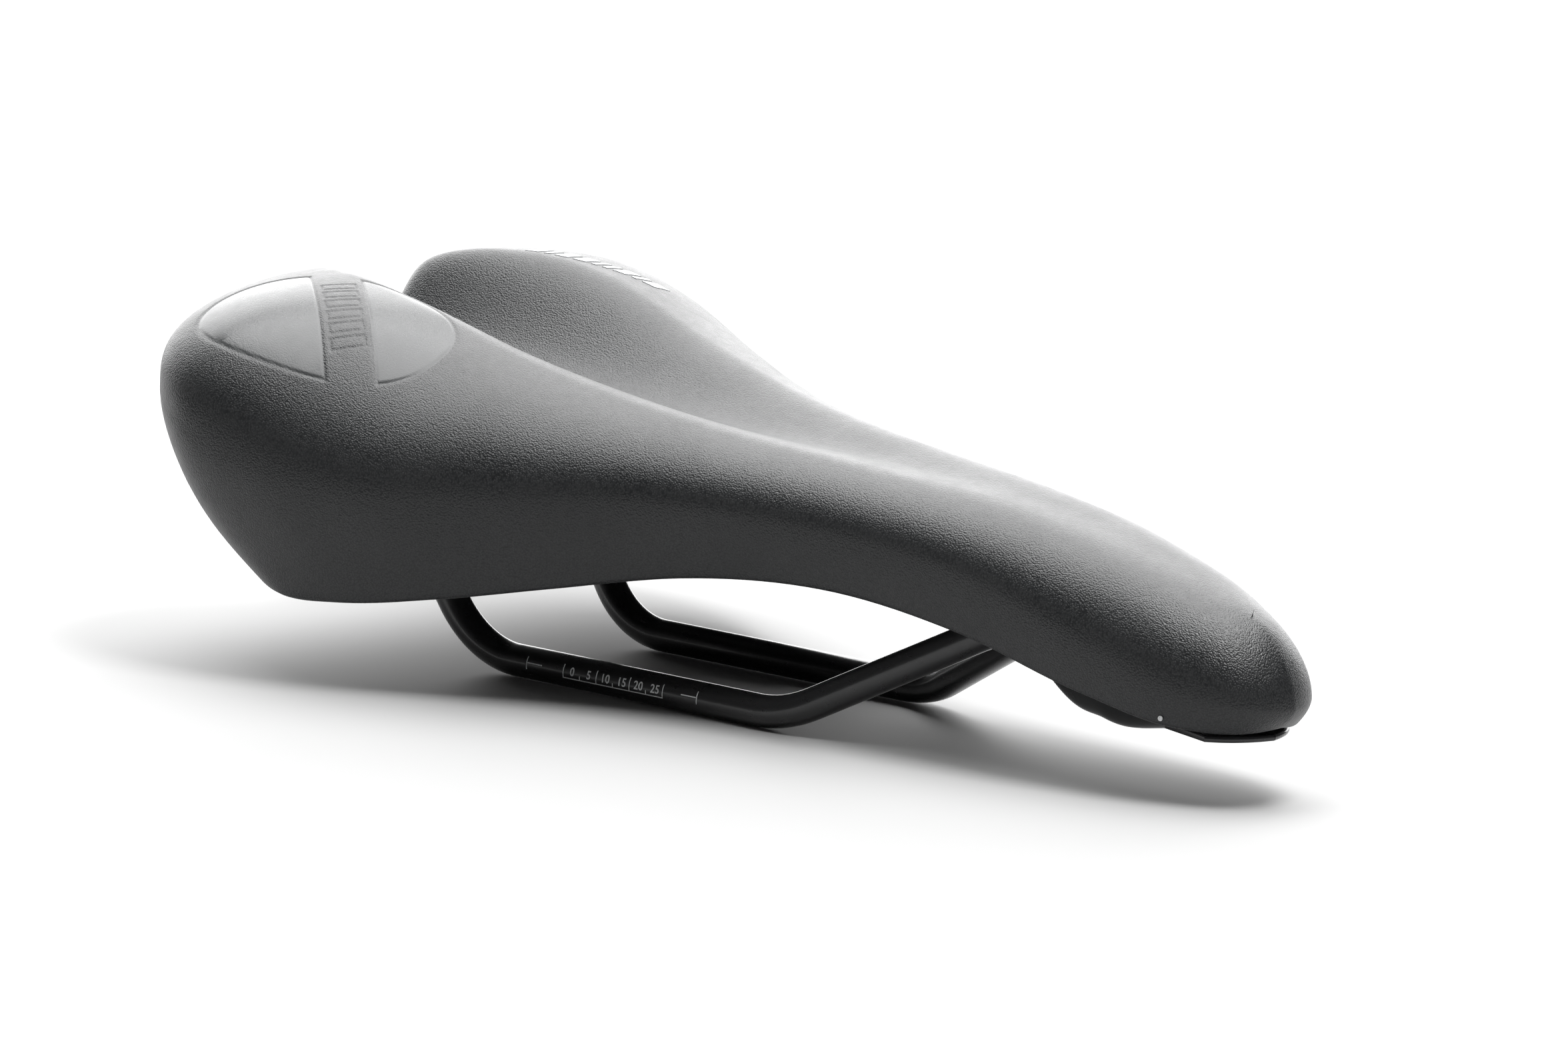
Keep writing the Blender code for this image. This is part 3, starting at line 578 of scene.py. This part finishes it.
def print_white():
    n = Nodes("print_white")
    worn = n.noise(n.place(), 2500.0, 3.0, 0.7)
    n.link(n.blend(n.spread(worn, 0.55, 0.75), (0.78, 0.79, 0.79), (0.45, 0.45, 0.46)), "Base Color")
    n.set(Roughness=0.55)
    return n.material


def silver_foil():
    n = Nodes("silver_foil")
    n.set(Metallic=0.85)
    worn = n.noise(n.place(), 1800.0, 4.0, 0.6)
    n.link(n.blend(n.spread(worn, 0.35, 0.75), (0.62, 0.63, 0.64), (0.34, 0.35, 0.36)), "Base Color")
    n.link(n.spread(worn, 0.3, 0.7, 0.30, 0.45), "Roughness")
    n.bump(worn, 0.3, 0.00005)
    return n.material


def steel(name, colour, rough):
    n = Nodes(name)
    n.set(Metallic=1.0)
    brushed = n.noise(n.place((1.0, 1.0, 12.0)), 1200.0, 3.0, 0.6)
    darker = tuple(value * 0.6 for value in colour)
    n.link(n.blend(n.spread(brushed, 0.35, 0.7), colour, darker), "Base Color")
    n.link(n.spread(brushed, 0.3, 0.7, rough - 0.07, rough + 0.07), "Roughness")
    n.bump(brushed, 0.3, 0.00003)
    return n.material


def studio_floor():
    n = Nodes("studio_floor")
    soft = n.noise(n.place(), 1.2, 2.0, 0.5)
    n.link(n.blend(n.spread(soft, 0.3, 0.7), (0.38, 0.38, 0.38), (0.40, 0.40, 0.40)), "Base Color")
    n.set(Roughness=0.75)
    return n.material


# ---------------------------------------------------------------- the cover

def turned_places(points, turn):
    """Each point's place along and across a direction seen from above, counted from the panel's centre."""
    offset = points[..., :2] - PANEL_CENTRE
    return offset @ (math.cos(turn), math.sin(turn)), offset @ (-math.sin(turn), math.cos(turn))


def panel_masks(points):
    """How far each point is inside the panel's smooth parts and inside its band, and the grooves' depth."""
    u, v = turned_places(points, PANEL_TURN)
    size = (np.abs(u) / PANEL_HALF[0]) ** PANEL_SQUARENESS + (np.abs(v) / PANEL_HALF[1]) ** PANEL_SQUARENESS
    rim = (1 - size ** (1 / PANEL_SQUARENESS)) * PANEL_HALF[1]
    along, across = turned_places(points, BAND_TURN)
    across = across - BAND_OFFSET
    beside = np.abs(across) - BAND_HALF
    top = points[..., 2] > PANEL_LOWEST
    inside = np.where(top, np.minimum(rim, beside), -1.0)
    band = np.where(top, np.minimum(rim - BAND_MARGIN, -beside), -1.0)
    groove = GROOVE_DEPTH * np.exp(-((inside / GROOVE_WIDTH) ** 2))
    for place in BAND_CELLS:
        edge = np.maximum(np.abs(along - place) - CELL_HALF[0], np.abs(across) - CELL_HALF[1])
        line = CELL_LINE_DEPTH * np.exp(-((edge / CELL_LINE_WIDTH) ** 2)) * ramp(band / 0.0004 + 0.5)
        groove = np.maximum(groove, line)
    return inside, band, groove


def crease(points, start, end, width, reach):
    """A soft fold along a straight run from start to end, as a share of its height."""
    run = end - start
    along = np.clip(((points - start) @ run) / (run @ run), -0.2, 1.2)
    nearest = start + along[..., None] * run
    away = np.linalg.norm(points - nearest, axis=-1)
    fade = ramp((along + 0.2) / 0.4) * ramp((1.2 - along) / 0.4)
    return np.exp(-((away / width) ** 2)) * fade * ramp((reach - away) / reach)


def skin_relief(points, side):
    """How far each point of the cover's right or left half stands proud of the plain surface."""
    waves = [noise.noise(Vector(place) * WAVE_SCALE) for place in points.reshape(-1, 3)]
    relief = WAVE_HEIGHT * np.array(waves).reshape(points.shape[:2])
    flip = np.array([1.0, side, 1.0])
    away = np.linalg.norm(points - np.array(CORNER) * flip, axis=-1)
    relief += CORNER_FULLNESS * np.exp(-((away / CORNER_REACH) ** 2))
    for start, end, width, height in FOLDS:
        relief += height * crease(points, np.array(start) * flip, np.array(end) * flip, width, FOLD_REACH)
    return relief


class Skin:
    """The cover's outside over both halves, from fine grids of the right and left half. Most of it takes one
    point in each FINE by FINE cell, and the flagged cells of the right half take them all."""

    def __init__(self, right, left, flags):
        self.grids = {1: right, -1: left}
        self.flags = np.pad(flags, 1)
        self.found = {}
        self.points = []
        self.places = []
        self.faces = []
        rows, columns = flags.shape
        for row in range(rows):
            for column in range(columns):
                if flags[row, column]:
                    self.add_fine(row * FINE, column * FINE)
                else:
                    self.add_plain(row, column)
                corners = [(row, column + 1), (row + 1, column + 1), (row + 1, column), (row, column)]
                self.add_face([(FINE * down, FINE * along) for down, along in corners], -1)

    def index(self, row, column, side):
        if row == 0 or column in (0, self.grids[1].shape[1] - 1):
            side = 1
        key = (row, column, side)
        if key not in self.found:
            self.found[key] = len(self.points)
            self.points.append(self.grids[side][row, column])
            self.places.append(key)
        return self.found[key]

    def add_face(self, corners, side):
        indices = [self.index(row, column, side) for row, column in corners]
        self.faces.append(list(dict.fromkeys(indices)))

    def add_fine(self, top, left):
        for row in range(top, top + FINE):
            for column in range(left, left + FINE):
                self.add_face([(row, column), (row + 1, column), (row + 1, column + 1), (row, column + 1)], 1)

    def add_plain(self, row, column):
        """One plain cell, with the further points that a fine neighbour puts on their shared edge."""
        top, left, bottom, right = row * FINE, column * FINE, (row + 1) * FINE, (column + 1) * FINE
        flagged = self.flags[row:row + 3, column:column + 3]
        outline = []
        for step in range(FINE if flagged[1, 0] else 1):
            outline.append((top + step, left))
        for step in range(FINE if flagged[2, 1] else 1):
            outline.append((bottom, left + step))
        for step in range(FINE if flagged[1, 2] else 1):
            outline.append((bottom - step, right))
        for step in range(FINE if flagged[0, 1] else 1):
            outline.append((top, right - step))
        self.add_face(outline, 1)


def make_cover(material):
    """The cover: its whole outside, the turned edge, the lip inside the shell, and the skin's inner face."""
    surface = Surface([16 * FINE] * 9 + [9 * FINE] * 3 + [14 * FINE] * 3)
    skirt_count = 18 * FINE
    skirt = [surface.bottom * row / skirt_count for row in range(1, skirt_count + 1)]
    outside = surface.outside(60 * FINE, 20 * FINE, skirt)
    skin = grid_normals(outside)
    inside, band, groove = panel_masks(outside)
    smooth = ramp(inside / PANEL_EDGE + 0.5)
    recess = PANEL_DEPTH * smooth + groove
    mirrored = outside * MIRROR
    right = outside + skin * (skin_relief(outside, 1) - recess)[..., None]
    left = mirrored + skin * MIRROR * skin_relief(mirrored, -1)[..., None]

    near = (np.abs(inside) < 0.0009) | (band > -0.0003)
    rows, columns = (outside.shape[0] - 1) // FINE, (outside.shape[1] - 1) // FINE
    flags = near[:-1, :-1].reshape(rows, FINE, columns, FINE).any(axis=(1, 3))
    sheet = Skin(right, left, flags)

    mesh = SheetMesh()
    mesh.points.append(np.array(sheet.points))
    mesh.count = len(sheet.points)
    last = outside.shape[0] - 1
    along = list(range(0, outside.shape[1], FINE))
    hem = [sheet.index(last, column, 1) for column in along]
    hem += [sheet.index(last, column, -1) for column in along[-2:0:-1]]

    plain = outside[:, ::FINE]
    down = unit(plain[-1] - plain[-1 - FINE])
    lip_in = surface.lip_rows(LIP_IN, 7)[:, ::FINE]
    lip_out = surface.lip_rows(LIP_OUT, 3)[:, ::FINE]
    roll = half_turn(plain[-1], lip_in[0], down, ROLL_DROP, 11)
    under = plain - skin[:, ::FINE] * COVER_THICKNESS
    under = np.concatenate([under[::4 * FINE][:-1], under[-1:]])
    inner_roll = half_turn(under[-1], lip_out[0], down, ROLL_DROP - COVER_THICKNESS, 5)
    turned = mesh.add(np.concatenate([both_halves(roll), both_halves(lip_in)]), spine=False)
    inner = mesh.add(np.concatenate([both_halves(under), both_halves(inner_roll), both_halves(lip_out)]))
    mesh.join(np.array(hem), turned[0])
    mesh.join_all(turned)
    mesh.join_all(inner, flip=True)
    mesh.join(turned[-1], inner[-1])
    faces = sheet.faces + [tuple(dict.fromkeys(face)) for face in np.concatenate(mesh.faces).tolist()]
    cover = make_piece("cover_leather", np.concatenate(mesh.points), faces, material)

    drop = read_profile(RIDGE, outside[..., 0]) - outside[..., 2]
    polish = ramp(1 - drop / POLISH_DEPTH)
    panel = np.zeros(len(cover.data.vertices))
    shine = np.zeros(len(cover.data.vertices))
    for number, (row, column, side) in enumerate(sheet.places):
        shine[number] = polish[row, column]
        if side > 0:
            panel[number] = smooth[row, column]
    set_attribute(cover, "panel", panel)
    set_attribute(cover, "polish", shine)
    return cover


def make_foam(material):
    """The foam between the cover and the shell, thick under the ridges."""
    surface = Surface([8] * 15)
    skirt = [surface.bottom * row / 8 for row in range(1, 9)]
    outside = surface.outside(24, 10, skirt)
    outer = outside - grid_normals(outside) * (COVER_THICKNESS + GAP)
    outer[-1] += surface.rise
    inner = surface.under_foam(0.0, 24, 10, [np.full(len(surface.lip), row / 8) for row in range(1, 9)])
    mesh = SheetMesh()
    outer_index = mesh.add(both_halves(outer))
    inner_index = mesh.add(both_halves(inner))
    mesh.join_all(outer_index)
    mesh.join_all(inner_index, flip=True)
    mesh.join(outer_index[-1], inner_index[-1])
    return mesh.build("foam_filling", material)


def make_shell(material):
    """The moulded shell under the foam, without its ribs."""
    surface = Surface([12] * 15)
    skirt = [np.full(len(surface.lip), row / 12) for row in range(1, 13)]
    mesh = SheetMesh()
    outer_index = mesh.add(both_halves(surface.under_foam(INNER_GAP, 36, 14, skirt)))
    inner_index = mesh.add(both_halves(surface.under_foam(INNER_GAP + SHELL_THICKNESS, 36, 14, skirt)))
    mesh.join_all(outer_index)
    mesh.join_all(inner_index, flip=True)
    mesh.join(outer_index[-1], inner_index[-1])
    return mesh.build("moulded_shell", material)


def face_tree(mesh):
    """A mesh's faces, ready for casting rays at."""
    points = [vertex.co for vertex in mesh.vertices]
    return BVHTree.FromPolygons(points, [face.vertices for face in mesh.polygons])


def make_ribs(shell, material):
    """Stiffening ribs under the shell, hanging from its inner face."""
    tree = face_tree(shell.data)
    points = []
    faces = []
    for start, end in RIB_RUNS:
        start, end = Vector((*start, 0)), Vector((*end, 0))
        side = (end - start).normalized().cross(Vector((0, 0, 1)))
        first = len(points)
        for station in range(RIB_STATIONS + 1):
            share = station / RIB_STATIONS
            depth = RIB_DEPTH * float(ramp(min(share, 1 - share) / RIB_FADE))
            low_half = RIB_TAPER * RIB_HALF
            for half, hang in ((RIB_HALF, None), (-RIB_HALF, None), (-low_half, depth), (low_half, depth)):
                place = start.lerp(end, share) + side * half
                hit = tree.ray_cast(place - Vector((0, 0, 0.2)), Vector((0, 0, 1)))[0]
                place.z = hit.z + RIB_BITE if hang is None else hit.z - hang
                points.append(place)
        faces += rod_faces(first, len(points), 4)
    ribs = make_piece("shell_ribs", points, faces, material)
    ribs.data.set_sharp_from_angle(angle=math.radians(40))
    return ribs


# ---------------------------------------------------------------- the rail

def bend(path, corner, following, radius, step):
    """Adds a round bend at a corner to the path."""
    corner = Vector(corner)
    before = (Vector(path[-1]) - corner).normalized()
    after = (Vector(following) - corner).normalized()
    turn = math.pi - before.angle(after)
    reach = radius * math.tan(turn / 2)
    centre = corner + (before + after).normalized() * (radius / math.cos(turn / 2))
    axis = (-before).cross(after).normalized()
    spoke = corner + before * reach - centre
    steps = max(2, math.ceil(turn / step))
    for number in range(steps + 1):
        path.append(centre + Matrix.Rotation(turn * number / steps, 3, axis) @ spoke)


def rail_path(step):
    """The rod's middle line, from the right rear end round the nose to the left rear end."""
    corners = [Vector(place) for place, _ in RAIL_CORNERS]
    flip = Matrix.Diagonal((1, -1, 1))
    corners += [flip @ place for place in reversed(corners)]
    radii = [radius for _, radius in RAIL_CORNERS]
    radii += radii[::-1]
    path = [Vector(RAIL_END)]
    for number, (corner, radius) in enumerate(zip(corners, radii)):
        following = corners[number + 1] if number + 1 < len(corners) else flip @ Vector(RAIL_END)
        bend(path, corner, following, radius, step)
    path.append(flip @ Vector(RAIL_END))
    kept = path[:1]
    for place in path[1:]:
        if (place - kept[-1]).length > 0.0002:
            kept.append(place)
    return kept


def make_tube(name, path, radius, sides, material):
    """A round rod along a path, with its ends slightly rounded off."""
    first = (path[0] - path[1]).normalized()
    last = (path[-1] - path[-2]).normalized()
    stations = [(path[0] - first * back, radius * share) for back, share in ROD_END]
    stations += [(place, radius) for place in path[1:-1]]
    stations += [(path[-1] - last * back, radius * share) for back, share in reversed(ROD_END)]
    points = []
    for number, (place, size) in enumerate(stations):
        before = stations[max(number - 1, 0)][0]
        after = stations[min(number + 1, len(stations) - 1)][0]
        turning = (after - before).normalized()
        side = turning.cross(Vector((0, 0, 1))).normalized()
        up = side.cross(turning)
        for spoke in range(sides):
            angle = 2 * math.pi * spoke / sides
            points.append(place + (side * math.cos(angle) + up * math.sin(angle)) * size)
    return make_piece(name, points, rod_faces(0, len(points), sides), material)


def add_block(bm, low, high):
    """A thin flat block between two corners, standing PRINT_DEPTH out of the plane."""
    corners = [(x, y, z) for z in (0.0, PRINT_DEPTH) for y in (low[1], high[1]) for x in (low[0], high[0])]
    points = [bm.verts.new(corner) for corner in corners]
    for face in ((0, 2, 3, 1), (4, 5, 7, 6), (0, 1, 5, 4), (2, 6, 7, 3), (0, 4, 6, 2), (1, 3, 7, 5)):
        bm.faces.new([points[index] for index in face])


def add_number(bm, text, centre, low):
    """A number in the plain built-in font, centred on a place along the scale."""
    curve = bpy.data.curves.new("number", "FONT")
    curve.body = text
    curve.size = DIGIT_SIZE
    curve.align_x = "CENTER"
    curve.resolution_u = 4
    curve.extrude = PRINT_DEPTH / 2
    curve.offset = DIGIT_BOLDNESS
    curve.space_character = 1.05
    flat = bpy.data.objects.new("number", curve)
    mesh = bpy.data.meshes.new_from_object(flat)
    mesh.transform(Matrix.Translation((centre, low, PRINT_DEPTH / 2)))
    bm.from_mesh(mesh)
    bpy.data.meshes.remove(mesh)
    bpy.data.objects.remove(flat)
    bpy.data.curves.remove(curve)


def draw_scale(bm):
    """A plain scale: end brackets, a base line with a tick every SCALE_STEP, and numbers from 0 to 25."""
    line, low, high = SCALE_LINE, SCALE_LOW, SCALE_HIGH
    for number in range(6):
        tick = SCALE_FIRST + number * SCALE_STEP
        reach = high if number % 2 == 0 else low + 0.0008
        add_block(bm, (tick, low), (tick + line, reach))
        add_number(bm, str(5 * number), tick + 0.56 * SCALE_STEP, low + 0.00055)
    end = SCALE_FIRST + 6 * SCALE_STEP
    add_block(bm, (end, low), (end + line, high))
    add_block(bm, (SCALE_FIRST, low - line), (end + line, low - 0.00002))
    for sign in (-1, 1):
        bracket = sign * BRACKET_PLACE
        add_block(bm, (bracket, low), (bracket + line, high))
        near, far = sorted((bracket - sign * line * 0.5, sign * BRACKET_REACH))
        add_block(bm, (near + line, BRACKET_HEIGHT), (far, BRACKET_HEIGHT + line))


def make_scale(name, side, material):
    """The scale laid round the outside of one straight run of the rail."""
    bm = bmesh.new()
    draw_scale(bm)
    for height in np.arange(-0.0016, 0.0018, 0.0003):
        parts = bm.verts[:] + bm.edges[:] + bm.faces[:]
        bmesh.ops.bisect_plane(bm, geom=parts, plane_co=(0, height, 0), plane_no=(0, 1, 0), dist=1e-7)
    for vertex in bm.verts:
        along, height, lift = vertex.co
        angle = height / RAIL_RADIUS + SCALE_LIFT
        reach = RAIL_RADIUS - 0.00002 + lift
        across = RAIL_HALF_SPACING + reach * math.cos(angle)
        vertex.co = (-side * along, side * across, reach * math.sin(angle))
    bmesh.ops.remove_doubles(bm, verts=bm.verts[:], dist=1e-7)
    bmesh.ops.recalc_face_normals(bm, faces=bm.faces[:])
    mesh = bpy.data.meshes.new(name)
    bm.to_mesh(mesh)
    bm.free()
    mesh.materials.append(material)
    return link_object(name, mesh)


# ---------------------------------------------------------------- the nose socket

def make_keel(material):
    """The keel under the nose: a smooth closed loft that holds the rail's bend."""
    stations = np.array(KEEL_STATIONS)
    places = np.linspace(stations[0, 0], stations[-1, 0], KEEL_SECTIONS)
    sizes = read_curve(stations[:, 1:], stations[:, 0], places)
    points = []
    spokes = KEEL_SPOKES
    for x, (low_half, low, high_half) in zip(places, sizes):
        for spoke in range(spokes):
            angle = 2 * math.pi * spoke / spokes
            across = math.copysign(abs(math.cos(angle)) ** 0.5, math.cos(angle))
            up = math.copysign(abs(math.sin(angle)) ** 0.6, math.sin(angle))
            share = (up + 1) / 2
            half = low_half + (high_half - low_half) * share
            points.append((x, across * half, low + (KEEL_TOP - low) * share))
    keel = make_piece("nose_keel", points, rod_faces(0, len(points), spokes, flip=True), material)
    keel.data.set_sharp_from_angle(angle=math.radians(50))
    return keel


def make_nose_plate(material):
    """The keel's thin front edge, seen below the cover: the hem's line drawn in, with a rounded rim."""
    line = read_line(HEM, np.linspace(13.5, 15.0, 48))
    along = np.gradient(line[:, :2], axis=0)
    inward = unit(np.stack([-along[:, 1], along[:, 0]], axis=-1))
    inward[-1] = (-1.0, 0.0)
    rings = []
    for step in range(9):
        angle = math.pi * (step / 8 - 0.5)
        margin = PLATE_MARGIN + PLATE_ROUND * (1 - math.cos(angle))
        half = np.vstack([PLATE_ROOT, line[:, :2] + inward * margin])
        ring = np.concatenate([half, half[-2::-1] * MIRROR[:2]])
        height = PLATE_MIDDLE + PLATE_ROUND * math.sin(angle)
        rings.append(np.column_stack([ring, np.full(len(ring), height)]))
    points = np.concatenate(rings)
    plate = make_piece("nose_plate", points, rod_faces(0, len(points), len(rings[0]), flip=True), material)
    plate.data.set_sharp_from_angle(angle=math.radians(50))
    return plate


def make_pip(material):
    """A tiny pale dome low on the right of the nose, standing on the cover."""
    points = [(0, 0, PIP_HEIGHT)]
    spokes = 24
    for row in range(1, 7):
        angle = math.pi / 2 * row / 6
        for spoke in range(spokes):
            turn = 2 * math.pi * spoke / spokes
            reach = PIP_RADIUS * math.sin(angle)
            points.append((reach * math.cos(turn), reach * math.sin(turn), PIP_HEIGHT * math.cos(angle)))
    points.append((0, 0, -PIP_ROOT))
    faces = []
    for spoke in range(spokes):
        after = (spoke + 1) % spokes
        faces.append((0, 1 + spoke, 1 + after))
        for row in range(5):
            start = 1 + row * spokes
            faces.append((start + spoke, start + spokes + spoke, start + spokes + after, start + after))
        faces.append((len(points) - 1, 1 + 5 * spokes + after, 1 + 5 * spokes + spoke))
    return make_piece("nose_pip", points, faces, material)


# ---------------------------------------------------------------- the marks on the left wing

def make_bars(cover, material):
    """A row of slanting foil bars of a few widths, laid on the cover's top."""
    tree = face_tree(cover.data)
    along = Vector((math.cos(BARS_TURN), math.sin(BARS_TURN), 0))
    across = Vector((-along.y, along.x, 0))
    centre = Vector((*BARS_CENTRE, 0))
    bm = bmesh.new()
    columns, rows = BAR_GRID
    start = -sum(width + BAR_SPACE for width in BAR_WIDTHS) / 2
    for width in BAR_WIDTHS:
        layers = []
        for lift in (-BAR_LIFT, BAR_LIFT):
            grid = []
            for row in range(rows):
                v = BAR_HEIGHT * (row / (rows - 1) - 0.5)
                for column in range(columns):
                    u = start + BAR_LEAN * v + width * column / (columns - 1)
                    above = centre + along * u + across * v + Vector((0, 0, 0.2))
                    place, normal, _, _ = tree.ray_cast(above, Vector((0, 0, -1)))
                    grid.append(bm.verts.new(place + normal * lift))
            layers.append(grid)
        start += width + BAR_SPACE
        under, top = layers
        for row in range(rows - 1):
            for column in range(columns - 1):
                a = row * columns + column
                quad = (a, a + 1, a + 1 + columns, a + columns)
                bm.faces.new([top[index] for index in quad])
                bm.faces.new([under[index] for index in reversed(quad)])
        rim = list(range(columns))
        rim += [row * columns + columns - 1 for row in range(1, rows)]
        rim += [(rows - 1) * columns + column for column in range(columns - 2, -1, -1)]
        rim += [row * columns for row in range(rows - 2, 0, -1)]
        for place, index in enumerate(rim):
            after = rim[(place + 1) % len(rim)]
            bm.faces.new((under[index], under[after], top[after], top[index]))
    bmesh.ops.recalc_face_normals(bm, faces=bm.faces[:])
    data = bpy.data.meshes.new("wing_bars")
    bm.to_mesh(data)
    bm.free()
    data.shade_smooth()
    data.set_sharp_from_angle(angle=math.radians(50))
    data.materials.append(material)
    return link_object("wing_bars", data)


# ---------------------------------------------------------------- stage, light, camera

def make_floor(material):
    """A plain floor just under the rail, which isn't part of the object."""
    low = cad_box[0][2] - 0.0001
    points = [(-9, -9, low), (9, -9, low), (9, 9, low), (-9, 9, low)]
    floor = make_piece("studio_floor", points, [(0, 1, 2, 3)], material, smooth=False)


def area_light(name, place, target, size, power):
    """A soft rectangular light that faces its target and isn't seen by the camera."""
    data = bpy.data.lights.new(name, "AREA")
    data.shape = "RECTANGLE"
    data.size, data.size_y = size
    data.energy = power
    light = link_object(name, data)
    light.location = place
    direction = Vector(target) - Vector(place)
    light.rotation_euler = direction.to_track_quat("-Z", "Y").to_euler()
    light.visible_camera = False


def light_studio():
    """Low all-round light, a large soft light overhead and behind, and a small key light over the nose."""
    world = bpy.data.worlds.new("studio")
    world.use_nodes = True
    world.node_tree.nodes["Background"].inputs["Color"].default_value = (1.0, 1.0, 1.0, 1.0)
    world.node_tree.nodes["Background"].inputs["Strength"].default_value = 0.08
    bpy.context.scene.world = world
    area_light("overhead", (-0.28, 0.24, 1.35), (0.02, 0.0, 0.04), (1.6, 1.3), 40.0)
    area_light("backdrop", (-1.35, 1.50, 0.85), (0.02, 0.0, 0.05), (3.4, 1.9), 76.0)
    area_light("key", (0.48, 0.04, 1.15), (0.15, 0.0, 0.04), (0.36, 0.36), 11.0)
    bpy.context.scene.view_settings.view_transform = "Standard"


def make_camera():
    """The photo's viewing angle: about 41 degrees round to the saddle's right, and 13 degrees above it."""
    place = Vector((1.5812, -1.6205, 0.4330))
    target = Vector((0.0250, 0.0000, 0.0350))
    upright = Vector((-0.1767, 0.1509, 0.9726))
    back = (place - target).normalized()
    side = upright.cross(back).normalized()
    up = back.cross(side)
    data = bpy.data.cameras.new("camera")
    data.sensor_width = 36.0
    data.lens = 250.0
    data.clip_start = 0.05
    data.clip_end = 40.0
    camera = link_object("camera", data)
    camera.matrix_world = Matrix.Translation(place) @ Matrix((side, up, back)).transposed().to_4x4()
    bpy.context.scene.camera = camera


# ---------------------------------------------------------------- assembly

def give(node, material):
    """A carried-over CAD node takes a detailed material."""
    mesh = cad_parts[node].data
    mesh.materials.clear()
    mesh.materials.append(material)


def main():
    make_camera()
    leather = cover_leather()
    cover = make_cover(leather)
    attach(cover, "root")
    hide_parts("cover")

    filling = make_foam(foam())
    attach(filling, "root")
    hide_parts("foam_pad")

    shell = make_shell(moulded_plastic("shell_black", (0.024, 0.024, 0.026), 0.46, 1400.0, 0.00006))
    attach(shell, "root")
    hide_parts("base_shell")
    ribs = make_ribs(shell, shell.data.materials[0])
    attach(ribs, "root")

    rail = make_tube("rail_rod", rail_path(math.radians(2.5)), RAIL_RADIUS, 40, rail_paint())
    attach(rail, "root")
    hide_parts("rail")

    white = print_white()
    for side, word in ((-1, "right"), (1, "left")):
        scale = make_scale(f"rail_scale_{word}", side, white)
        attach(scale, "root")

    bars = make_bars(cover, silver_foil())
    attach(bars, "root")

    socket = moulded_plastic("socket_black", (0.018, 0.018, 0.019), 0.22, 900.0, 0.00003)
    for node in ("rear_socket_left", "rear_socket_right"):
        give(node, socket)
    keel = make_keel(socket)
    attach(keel, "root")
    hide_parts("nose_socket")
    plate = make_nose_plate(socket)
    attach(plate, "root")
    pip = make_pip(white)
    pip.data.transform(Matrix.Rotation(PIP_TILT, 4, "X"))
    pip.data.transform(Matrix.Rotation(PIP_TURN, 4, "Z"))
    pip.data.transform(Matrix.Translation(PIP_PLACE))
    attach(pip, "root")
    dark_steel = steel("screw_steel", (0.34, 0.34, 0.35), 0.34)
    bright_steel = steel("staple_steel", (0.66, 0.66, 0.67), 0.28)
    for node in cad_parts:
        if node.startswith("screw"):
            give(node, dark_steel)
        if node.startswith("staple"):
            give(node, bright_steel)

    make_floor(studio_floor())
    light_studio()


main()
